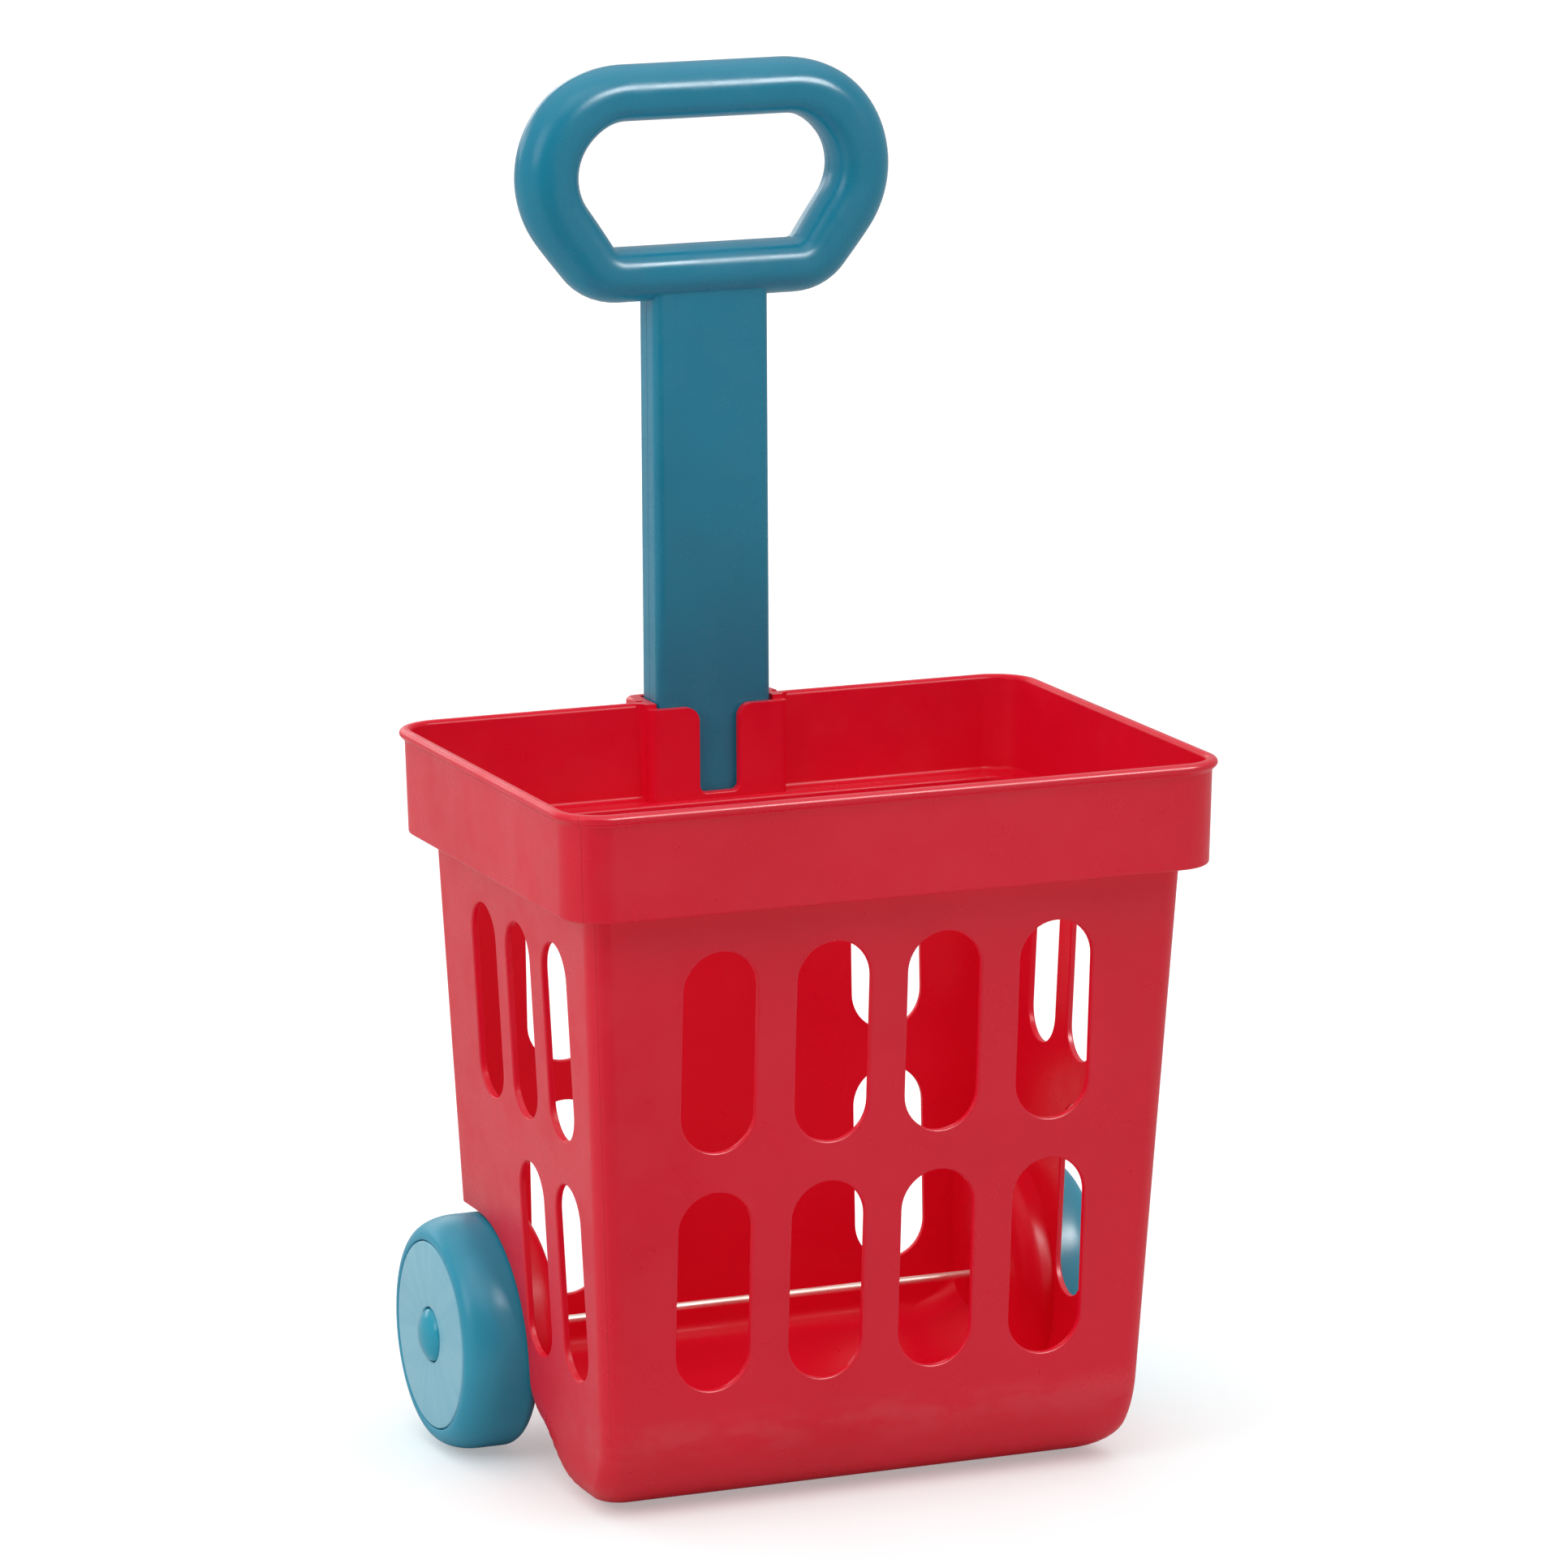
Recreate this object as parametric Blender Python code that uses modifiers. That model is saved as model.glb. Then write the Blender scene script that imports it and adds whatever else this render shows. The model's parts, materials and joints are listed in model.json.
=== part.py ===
"""Child's rolling shopping basket: one-piece moulded basket with a rear handle
channel and two wheel wells, a pull-out two-shell handle, and two hollow wheels
on a steel rod.

Metres, +Z up, floor at Z = 0, front of the basket towards -Y, the handle at +Y.
The origin is on the floor, on the flat foot, under the centre of the rim.
Dimensions below are in millimetres.
"""
import math

import bmesh
import bpy
from mathutils import Matrix, Vector

MM = 0.001
SIDES = ((-1, "left"), (1, "right"))    # sign of x, tag

# ---- basket ------------------------------------------------------------------
WALL = 2.6
FLOOR_T = 2.8
RIM_Z = 263.7                   # top of the rim bead
BEAD_Z = 258.7                  # underside of the rim bead
BEAD_OUT = 1.9                  # how far the bead stands out of the band
STEP_Z = 225.1                  # underside of the step between body and band
STEP_FLARE = 0.9                # body's spread just under the step, outside
STEP_FLARE_IN = 0.8             # the same, inside
CORNER_STEPS = 4                # segments round a corner of the plan
BAND_X, BAND_Y = 123.3, 91.6    # band half sizes at its lower edge
BAND_GROW = 0.8                 # band draft up to the rim
BAND_R = 16.0                   # band corner radius
BODY_SIDE, BODY_SIDE_DRAFT = 102.2, 0.05035     # half width at the floor, draft per mm
BODY_FRONT, BODY_FRONT_DRAFT = 64.1, 0.07437    # front wall offset at the floor, draft
BODY_BACK, BODY_BACK_DRAFT = 75.6, 0.02694      # back wall offset at the floor, draft
BODY_R = 8.0                    # body corner radius
MIN_CORNER_R = 1.5
FOOT_CORNER_GAIN = 0.15         # front corner radius gained per mm of bottom inset
FOOT_R_SIDE = 14.0              # bottom edge radius of the side walls, at the front
FOOT_R_REAR = 36.0              # the same, by the wheels
FOOT_BLEND_Y, FOOT_BLEND_RUN = -22.0, 34.0      # where that radius starts to change, and over what
FOOT_R_FRONT = 33.0             # bottom edge radius, front wall
FOOT_R_BACK = 5.0
RAMP_Y, RAMP_SLOPE = 8.9, 0.37  # the bottom rises behind this line
RAMP_CREASE = 7.0               # half length of the soft crease at its start
RAMP_FADE = 150.0               # height at which the loops are level again
STATIONS = (-14.0, -6.0, 1.8, 5.5, 9.0, 12.5, 16.0, 26.0, 42.0, 58.0)   # loop y along the sides

# ---- slots -------------------------------------------------------------------
SLOT_SEGMENTS = 20
SLOT_HALF = 14.0                # front and back slots, half width
SLOT_X = (21.1, 64.0)
ROW_UP = (135.3, 208.7)         # bottom and top of the slots
ROW_LOW = (47.1, 120.5)
SIDE_SLOT_HALF = 12.0
SIDE_SLOT_Y = (-40.0, -3.6, 31.0)
SIDE_SLOT_TRIM = (1.0, -0.5)    # shift of a side slot's bottom and top from its row
FRONT_CUT, BACK_CUT = (-110.0, -40.0), (60.0, 120.0)    # cutter reach along y
SIDE_CUTS = ((-140.0, -95.0), (95.0, 140.0))            # cutter reach along x

# ---- handle channel ----------------------------------------------------------
PLATE_Y = 81.6                  # channel front plate, face towards the basket
PLATE_T = 3.6
PLATE_TOP = 262.2
CH_BORE_X = 23.1                # bore half width
CH_BORE_Y = 19.4                # bore depth at the rim
CH_X = 25.7                     # channel half width outside
CH_CORNER_R = 3.0
CH_BOTTOM = 48.0
CH_OVERLAP = 1.3                # how far the channel sinks into the back wall
LIP_X, LIP_OUT, LIP_R = 28.0, 1.5, 4.0      # rim round the channel: half width, overhang, corner
RIB_X = (12.5, 15.1)            # guide ribs down the channel, inner and outer face
POCKET_DROP = 4.0               # pockets end this far below the step
NOTCH_HALF, NOTCH_Z = 7.7, 231.4
HALF_BORE = CH_BORE_Y / 2
CH_MID = PLATE_Y + PLATE_T + CH_BORE_Y / 2

# ---- handle ------------------------------------------------------------------
BAR_X = 22.5                    # bar half width
BAR_T = 17.8                    # bar thickness
BAR_BOTTOM = 205.0
BAR_R, BAR_R_IN = 3.2, 1.6      # bar corner radius outside and inside
SHELL_T = 2.2
SEAM = 0.3
GRIP_ARC_X, GRIP_ARC_Z, GRIP_ARC_R = 29.7, 457.6, 31.3      # upper side arcs
GRIP_LOW_Z = 422.1              # centre line of the lower run
GRIP_LOW_R = 12.5               # arc from the lower run into the straight flank
GRIP_FLANK = 50                 # slope of the flank, degrees
GRIP_R = 10.6                   # tube radius, in the plane of the ring
GRIP_DEPTH = 11.9               # tube half depth, front to back
SCREW_BOSS_R, SCREW_HOLE_R, SCREW_HEAD_HOLE_R = 4.2, 1.6, 3.1
BOSS_OVERLAP = 0.6              # how far a screw boss sinks into the shell
SEAT_DEPTH = 2.2                # screw head seat below the rear face
# tag, x, z, distance of the handle's face from the seam
SCREWS = (("lower", 0.0, 235.0, BAR_T / 2),
          ("middle", 0.0, 392.0, BAR_T / 2),
          ("left", -61.0, GRIP_ARC_Z, GRIP_DEPTH),
          ("right", 61.0, GRIP_ARC_Z, GRIP_DEPTH))
PLUG_INSET, PLUG_GAP, PLUG_T = 0.6, 0.3, 3.0
STEM_PLAY = 0.4                 # between the plug's stem and the bar's inside
STEM_ROOT, STEM_RISE, STEM_R = 1.0, 12.0, 1.8
PLUG_HOLLOW_INSET, PLUG_HOLLOW_RISE = 5.0, 9.5

# ---- wheels ------------------------------------------------------------------
AXLE_Y, AXLE_Z = 55.0, 43.2
ROD_R = 1.5
ROD_HOLE_R = ROD_R + 0.35
CAP_HOLE_R = ROD_R + 0.3        # hole in hub cap and washer
ROD_HALF = 126.0
WHEEL_R = 43.2
WHEEL_IN, WHEEL_OUT = 98.2, 125.7
WEB_X = WHEEL_IN + 2.4          # outward side of the wheel's inner wall
SLEEVE_R, SLEEVE_IN, SLEEVE_OUT = 6.5, 96.6, 119.4      # sleeve round the rod
DISC_R = 34.4
HUB_HOLE_R = 10.2
COLLAR_R = HUB_HOLE_R + 2.0     # collar behind the hub hole
CAP_R = 9.6
CAP_IN = 119.8
WASHER_R, WASHER_IN, WASHER_OUT = 6.0, 94.9, 96.2
WELL_R = 44.4                   # wheel well arch radius
WELL_X = 92.6                   # wheel side of the well wall
WELL_OUT, WELL_REAR, WELL_DOWN = 150.0, 140.0, 80.0     # reach of the well cutter
BOSS_R, BOSS_X = 7.0, 94.5      # axle boss on the well wall


# ---- scene -------------------------------------------------------------------
for old in list(bpy.data.objects):
    bpy.data.objects.remove(old, do_unlink=True)

parts = bpy.data.collections.new("toy_shopping_trolley")
cutters = bpy.data.collections.new("cutters")
bpy.context.scene.collection.children.link(parts)
bpy.context.scene.collection.children.link(cutters)


def material(name, color, roughness, metallic=0.0):
    mat = bpy.data.materials.new(name)
    mat.use_nodes = True
    shader = mat.node_tree.nodes["Principled BSDF"]
    shader.inputs["Base Color"].default_value = (*color, 1.0)
    shader.inputs["Roughness"].default_value = roughness
    shader.inputs["Metallic"].default_value = metallic
    mat.diffuse_color = (*color, 1.0)
    return mat


RED = material("red_plastic", color=(0.60, 0.015, 0.03), roughness=0.38)
TEAL = material("teal_plastic", color=(0.04, 0.22, 0.33), roughness=0.35)
TEAL_LIGHT = material("teal_tyre", color=(0.07, 0.31, 0.42), roughness=0.42)
STEEL = material("steel_rod", color=(0.72, 0.70, 0.66), roughness=0.25, metallic=1.0)
ZINC = material("zinc_screw", color=(0.55, 0.55, 0.56), roughness=0.35, metallic=1.0)


def add_axis(name, location):
    axis = bpy.data.objects.new(name, None)
    parts.objects.link(axis)
    axis.location = Vector(location) * MM
    return axis


# channel frame: origin at the bore centre, at rim height
channel_axis = add_axis("handle_slide_axis", (0, CH_MID, RIM_Z))
axle = add_axis("axle_axis", (0, AXLE_Y, AXLE_Z))


# ---- objects and booleans ----------------------------------------------------
def add_object(name, bm, collection, parent):
    mesh = bpy.data.meshes.new(name)
    bm.to_mesh(mesh)
    bm.free()
    ob = bpy.data.objects.new(name, mesh)
    collection.objects.link(ob)
    ob.parent = parent
    return ob


def add_part(name, bm, mat, parent=None):
    ob = add_object(name, bm, parts, parent)
    ob.data.materials.append(mat)
    return ob


def add_cutter(name, bm, parent=None):
    ob = add_object(name, bm, cutters, parent)
    ob.hide_render = True
    ob.display_type = "WIRE"
    return ob


def channel_cutter(name, bm):
    """Cutter given in the channel frame."""
    return add_cutter(name, bm, channel_axis)


def boolean(ob, tool, operation="DIFFERENCE"):
    mod = ob.modifiers.new(operation.lower() + "_" + tool.name, "BOOLEAN")
    mod.operation = operation
    mod.solver = "EXACT"
    mod.object = tool


def union_cutter(name, pieces):
    base = add_cutter(name, pieces[0])
    for i, piece in enumerate(pieces[1:]):
        boolean(base, add_cutter("%s_%d" % (name, i), piece), "UNION")
    return base


# ---- shapes ------------------------------------------------------------------
TURN_Z_TO = {"X": Matrix.Rotation(math.pi / 2, 4, "Y"),
             "Y": Matrix.Rotation(-math.pi / 2, 4, "X")}


def centred(half):
    return -half, half


def box(*ranges):
    """Box from its (low, high) ranges in x, y and z."""
    bm = bmesh.new()
    bmesh.ops.create_cube(bm, size=1.0)
    size = [(hi - lo) * MM for lo, hi in ranges]
    centre = [(lo + hi) / 2 * MM for lo, hi in ranges]
    bmesh.ops.scale(bm, vec=size, verts=bm.verts)
    bmesh.ops.translate(bm, vec=centre, verts=bm.verts)
    return bm


def round_uprights(bm, radius, segments=3, behind=-math.inf):
    """Round the edges that climb in z and start at a y beyond behind."""
    edges = [e for e in bm.edges
             if abs(e.verts[0].co.z - e.verts[1].co.z) > 1.0 * MM
             and e.verts[0].co.y > behind * MM]
    bmesh.ops.bevel(bm, geom=edges, offset=radius * MM, segments=segments,
                    profile=0.5, affect="EDGES")


def cone(radius, length, segments):
    bm = bmesh.new()
    bmesh.ops.create_cone(bm, cap_ends=True, segments=segments, radius1=radius * MM,
                          radius2=radius * MM, depth=length * MM)
    return bm


def cylinder(radius, length, segments, axis, centre):
    """Cylinder along 'X' or 'Y', centred on a point."""
    bm = cone(radius, length, segments)
    place = Matrix.Translation(Vector(centre) * MM) @ TURN_Z_TO[axis]
    bmesh.ops.transform(bm, matrix=place, verts=bm.verts)
    return bm


def prism_x(outline_yz, x0, x1):
    """Outline in (y, z), pushed along x."""
    bm = bmesh.new()
    start = [bm.verts.new(Vector((x0, y, z)) * MM) for y, z in outline_yz]
    end = [bm.verts.new(Vector((x1, y, z)) * MM) for y, z in outline_yz]
    bm.faces.new(start)
    bm.faces.new(list(reversed(end)))
    for i in range(len(start)):
        j = (i + 1) % len(start)
        bm.faces.new((start[j], start[i], end[i], end[j]))
    bmesh.ops.recalc_face_normals(bm, faces=bm.faces)
    return bm


def slot(half, z0, z1, axis, across, reach):
    """Round-ended upright slot cutter, pushed along 'X' or 'Y' over reach."""
    lo, hi = reach
    bm = cone(half, hi - lo, SLOT_SEGMENTS)
    # half a segment of turn keeps every vertex off the line where the slot is stretched
    bmesh.ops.rotate(bm, cent=(0, 0, 0), verts=bm.verts,
                     matrix=Matrix.Rotation(math.pi / SLOT_SEGMENTS, 3, "Z"))
    stretch = (z1 - z0) / 2 - half
    for v in bm.verts:
        v.co.y += stretch * MM * (1 if v.co.y > 0 else -1)
    mid = (lo + hi) / 2
    x, y = (across, mid) if axis == "Y" else (mid, across)
    place = Matrix.Translation(Vector((x, y, (z0 + z1) / 2)) * MM)
    if axis == "X":
        place = place @ Matrix.Rotation(math.pi / 2, 4, "Z")
    bmesh.ops.transform(bm, matrix=place @ Matrix.Rotation(math.pi / 2, 4, "X"), verts=bm.verts)
    return bm


def join(bms):
    joined = bmesh.new()
    for bm in bms:
        mesh = bpy.data.meshes.new("tmp")
        bm.to_mesh(mesh)
        bm.free()
        joined.from_mesh(mesh)
        bpy.data.meshes.remove(mesh)
    return joined


# ---- basket loops ------------------------------------------------------------
def outline(half_x, front, back, front_r, back_r, z_at):
    """Closed loop: front to back on the +X side, mirrored on the way back."""
    y0, y1 = -(front - front_r), back - back_r
    angles = [math.pi / 2 * i / CORNER_STEPS for i in range(CORNER_STEPS + 1)]
    right = [(half_x(y0) - front_r + front_r * math.sin(a), y0 - front_r * math.cos(a))
             for a in angles]
    right += [(half_x(y), y) for y in STATIONS]
    right += [(half_x(y1) - back_r + back_r * math.cos(a), y1 + back_r * math.sin(a))
              for a in angles]
    loop = [(x, y, z_at(y)) for x, y in right]
    return loop + [(-x, y, z) for x, y, z in reversed(loop)]


def level_ring(half_x, front, back, z, radius):
    return outline(lambda y: half_x, front, back, radius, radius, lambda y: z)


def loft(rings):
    """Skin over equal loops; the lowest is closed by strips, the top by one face."""
    bm = bmesh.new()
    rows = [[bm.verts.new(Vector(p) * MM) for p in ring] for ring in rings]
    n = len(rows[0])
    low = rows[0]
    for i in range(n // 2 - 1):
        bm.faces.new((low[i], low[n - 1 - i], low[n - 2 - i], low[i + 1]))
    for below, above in zip(rows, rows[1:]):
        for i in range(n):
            j = (i + 1) % n
            bm.faces.new((below[i], below[j], above[j], above[i]))
    bm.faces.new(rows[-1])
    return bm


def side_x(z):
    return BODY_SIDE + BODY_SIDE_DRAFT * z


def front_y(z):
    """Distance of the front wall from the origin, towards -Y."""
    return BODY_FRONT + BODY_FRONT_DRAFT * z


def back_y(z):
    return BODY_BACK + BODY_BACK_DRAFT * z


def inset(radius, h):
    """How far a bottom edge of this radius has pulled in, at height h."""
    return 0.0 if h >= radius else radius - math.sqrt(max(0.0, radius**2 - (radius - h) ** 2))


def side_radius(y):
    """The side's bottom edge opens out towards the wheels."""
    t = min(1.0, max(0.0, (y - FOOT_BLEND_Y) / FOOT_BLEND_RUN))
    return FOOT_R_SIDE + (FOOT_R_REAR - FOOT_R_SIDE) * t * t * (3 - 2 * t)


def ramp_z(y):
    """Height of the underside: flat foot, soft crease, then a straight climb."""
    t = y - RAMP_Y
    if t <= -RAMP_CREASE:
        return 0.0
    if t >= RAMP_CREASE:
        return RAMP_SLOPE * t
    return RAMP_SLOPE * (t + RAMP_CREASE) ** 2 / (4 * RAMP_CREASE)


def body_ring(h, off, base):
    """Loop at height h above a bottom raised by base, off inside the outer wall."""
    fade = max(0.0, 1.0 - h / RAMP_FADE)

    def z_at(y):
        return base + h + ramp_z(y) * fade

    def half_x(y):
        return side_x(z_at(y)) - off - inset(side_radius(y) - off, h)

    front = front_y(base + h) - off - inset(FOOT_R_FRONT - off, h)
    back = back_y(z_at(BODY_BACK)) - off - inset(FOOT_R_BACK, h)
    front_r = BODY_R - off + FOOT_CORNER_GAIN * inset(FOOT_R_SIDE - off, h)
    return outline(half_x, front, back, max(front_r, MIN_CORNER_R),
                   max(BODY_R - off, MIN_CORNER_R), z_at)


def body_rings(off, base, top):
    """Body loops: every 10 degrees round the bottom edge, then up to height top."""
    edge_r = FOOT_R_REAR - off
    heights = [edge_r * (1 - math.cos(math.radians(10.0 * i))) for i in range(10)]
    return [body_ring(h, off, base) for h in heights + [90.0, 150.0, top]]


def step_ring(z, grow, radius):
    """Level loop at z, the size of the body at the step plus grow."""
    return level_ring(side_x(STEP_Z) + grow, front_y(STEP_Z) + grow, back_y(STEP_Z) + grow,
                      z, radius)


def band_ring(z, off, extra=0.0):
    """Band loop, off inside its outer face and extra outside it."""
    grow = BAND_GROW * (z - STEP_Z) / (RIM_Z - STEP_Z) + extra - off
    return level_ring(BAND_X + grow, BAND_Y + grow, BAND_Y + grow, z, BAND_R + extra - off)


# ---- basket pieces -----------------------------------------------------------
def basket_body():
    rings = body_rings(0.0, 0.0, STEP_Z - 1.2)
    rings.append(step_ring(STEP_Z - 0.3, STEP_FLARE, BODY_R + STEP_FLARE))
    rings.append(level_ring(BAND_X - 1.0, BAND_Y - 1.0, BAND_Y - 1.0, STEP_Z, BAND_R - 1.0))
    # z, how far the loop stands out of the band
    for z, extra in ((STEP_Z + 1.0, 0.0), (BEAD_Z, 0.0), (BEAD_Z + 0.5, BEAD_OUT * 0.7),
                     (BEAD_Z + 1.6, BEAD_OUT), (RIM_Z - 1.3, BEAD_OUT), (RIM_Z, BEAD_OUT - 1.3)):
        rings.append(band_ring(z, 0.0, extra))
    return add_part("basket", loft(rings), RED)


def well(side, radius, x_in):
    """Wheel well pieces: an arch about the axle, open to the rear and below."""
    x0, x1 = sorted((side * x_in, side * WELL_OUT))
    bottom = AXLE_Z - WELL_DOWN
    return (cylinder(radius, x1 - x0, 40, "X", ((x0 + x1) / 2, AXLE_Y, AXLE_Z)),
            box((x0, x1), (AXLE_Y, WELL_REAR), (bottom, AXLE_Z + radius)),
            box((x0, x1), (AXLE_Y - radius, WELL_REAR), (bottom, AXLE_Z)))


def cut_cavity(basket):
    """A loft one wall inside, less the wheel humps and the channel plate."""
    rings = body_rings(WALL, FLOOR_T, STEP_Z + WALL - 0.8 - FLOOR_T)
    rings.append(step_ring(STEP_Z + WALL, STEP_FLARE_IN - WALL, BODY_R - WALL + 1.4))
    # z, how far the loop lies inside the band's outer face
    for z, off in ((STEP_Z + WALL + 0.2, WALL + 1.0), (STEP_Z + WALL + 1.2, WALL),
                   (RIM_Z - 1.2, WALL), (RIM_Z + 0.1, WALL - 1.2), (RIM_Z + 4.0, WALL - 1.2)):
        rings.append(band_ring(z, off))
    cavity = add_cutter("cavity", loft(rings))
    for side, tag in SIDES:
        boolean(cavity, union_cutter("hump_" + tag, well(side, WELL_R + WALL, WELL_X - WALL)))
    plate = box(centred(CH_X), (-HALF_BORE - PLATE_T, HALF_BORE),
                (CH_BOTTOM - RIM_Z, PLATE_TOP - RIM_Z + 8))
    boolean(cavity, channel_cutter("plate_keep", plate))
    boolean(basket, cavity)


def wall_point(z, depth):
    """Channel-frame (y, z) at depth inside the back wall's outer face."""
    return back_y(z) - depth - CH_MID, z - RIM_Z


def add_channel(basket):
    back = HALF_BORE + WALL
    plate_face = -HALF_BORE - PLATE_T
    tube = prism_x([wall_point(CH_BOTTOM, CH_OVERLAP), (back, CH_BOTTOM - RIM_Z), (back, 0.0),
                    (plate_face, 0.0), (plate_face, STEP_Z + 1.0 - RIM_Z),
                    wall_point(STEP_Z - 1.0, CH_OVERLAP)], *centred(CH_X))
    round_uprights(tube, CH_CORNER_R, behind=5.0)
    boolean(basket, channel_cutter("channel_outer", tube), "UNION")

    lip = box(centred(LIP_X), (0.0, back + LIP_OUT), (BEAD_Z - RIM_Z, 0.0))
    round_uprights(lip, LIP_R, behind=5.0)
    boolean(basket, channel_cutter("channel_lip", lip), "UNION")

    bore_floor = CH_BOTTOM + WALL
    bore = box(centred(CH_BORE_X), centred(HALF_BORE), (bore_floor - RIM_Z, 20.0))
    boolean(basket, channel_cutter("channel_bore", bore))

    # below the step the bore opens forward to the back wall, leaving two guide ribs
    pocket_top = STEP_Z - POCKET_DROP
    pocket_back = -HALF_BORE + 1.0
    profile = [wall_point(bore_floor, 0.0), (pocket_back, bore_floor - RIM_Z),
               (pocket_back, pocket_top - RIM_Z), wall_point(pocket_top, 0.0)]
    rib_in, rib_out = RIB_X
    for i, (x0, x1) in enumerate(((-CH_BORE_X, -rib_out), centred(rib_in), (rib_out, CH_BORE_X))):
        boolean(basket, channel_cutter("channel_pocket_%d" % i, prism_x(profile, x0, x1)))

    trim = box(centred(CH_X + 0.2), (plate_face - 1.0, -HALF_BORE + 1.0),
               (PLATE_TOP - RIM_Z, 10.0))
    boolean(basket, channel_cutter("plate_trim", trim))
    notch = slot(NOTCH_HALF, NOTCH_Z - RIM_Z, 40.0, "Y", 0.0, (plate_face - 3, -HALF_BORE + 3))
    boolean(basket, channel_cutter("notch", notch))


def cut_wells(basket):
    """Wheel wells, their axle bosses and the hole for the rod."""
    for side, tag in SIDES:
        boolean(basket, union_cutter("well_" + tag, well(side, WELL_R, WELL_X)))
        x0, x1 = sorted((side * (WELL_X - WALL - 1.0), side * BOSS_X))
        boss = cylinder(BOSS_R, x1 - x0, 28, "X", ((x0 + x1) / 2, AXLE_Y, AXLE_Z))
        boolean(basket, add_cutter("boss_" + tag, boss), "UNION")
    hole = cylinder(ROD_HOLE_R, 220.0, 24, "X", (0, AXLE_Y, AXLE_Z))
    boolean(basket, add_cutter("rod_hole", hole))


def cut_slots(basket):
    """Two rows of slots; the channel stands between the back ones."""
    slots = [slot(SLOT_HALF, z0, z1, "Y", sign * x, reach)
             for reach, columns in ((FRONT_CUT, SLOT_X), (BACK_CUT, SLOT_X[1:]))
             for z0, z1 in (ROW_UP, ROW_LOW) for x in columns for sign in (-1, 1)]
    # in the lower row the wheel well takes the rearmost place
    up, down = SIDE_SLOT_TRIM
    slots += [slot(SIDE_SLOT_HALF, z0 + up, z1 + down, "X", y, reach)
              for (z0, z1), places in ((ROW_UP, SIDE_SLOT_Y), (ROW_LOW, SIDE_SLOT_Y[:-1]))
              for y in places for reach in SIDE_CUTS]
    boolean(basket, add_cutter("slots", join(slots)))


# ---- handle pieces, in the channel frame -------------------------------------
def arc(x, z, radius, start, sweep, steps):
    angles = [start + sweep * i / steps for i in range(steps + 1)]
    return [(x + radius * math.cos(a), z + radius * math.sin(a)) for a in angles]


def grip_path():
    """+X half of the grip's centre line (x, z), from the lower middle to the top."""
    slope = math.radians(GRIP_FLANK)
    arc_start = slope - math.pi / 2         # where the straight flank meets the upper arc
    flank_x = GRIP_ARC_X + GRIP_ARC_R * math.cos(arc_start)
    flank_z = GRIP_ARC_Z + GRIP_ARC_R * math.sin(arc_start)
    drop = flank_z - GRIP_LOW_Z - GRIP_LOW_R * (1 - math.cos(slope))
    low_x = flank_x - drop / math.tan(slope) - GRIP_LOW_R * math.sin(slope)
    top = GRIP_ARC_Z + GRIP_ARC_R
    return ([(0.0, GRIP_LOW_Z), (low_x * 0.5, GRIP_LOW_Z)]
            + arc(low_x, GRIP_LOW_Z + GRIP_LOW_R, GRIP_LOW_R, -math.pi / 2, slope, 4)
            + arc(GRIP_ARC_X, GRIP_ARC_Z, GRIP_ARC_R, arc_start, math.pi / 2 - arc_start, 10)
            + [(GRIP_ARC_X * 0.5, top), (0.0, top)])


def grip_tube(name, radius):
    """Closed bevelled curve turned into a mesh, then deepened front to back."""
    half = grip_path()
    loop = half + [(-x, z) for x, z in reversed(half[1:-1])]
    curve = bpy.data.curves.new(name, "CURVE")
    curve.dimensions = "3D"
    curve.bevel_depth = radius * MM
    curve.bevel_resolution = 2
    spline = curve.splines.new("POLY")
    spline.points.add(len(loop) - 1)
    for point, (x, z) in zip(spline.points, loop):
        point.co = (x * MM, 0.0, (z - RIM_Z) * MM, 1.0)
    spline.use_cyclic_u = True
    ob = bpy.data.objects.new(name + "_curve", curve)
    cutters.objects.link(ob)
    depsgraph = bpy.context.evaluated_depsgraph_get()
    bm = bmesh.new()
    bm.from_mesh(bpy.data.meshes.new_from_object(ob.evaluated_get(depsgraph)))
    bmesh.ops.remove_doubles(bm, verts=bm.verts, dist=1e-6)
    bmesh.ops.recalc_face_normals(bm, faces=bm.faces)
    bpy.data.objects.remove(ob, do_unlink=True)
    bmesh.ops.scale(bm, vec=(1.0, (GRIP_DEPTH - GRIP_R + radius) / radius, 1.0), verts=bm.verts)
    return bm


def bar(shrink, bottom, radius):
    bm = box(centred(BAR_X - shrink), centred(BAR_T / 2 - shrink),
             (bottom - RIM_Z, GRIP_LOW_Z - RIM_Z))
    round_uprights(bm, radius)
    return bm


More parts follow.
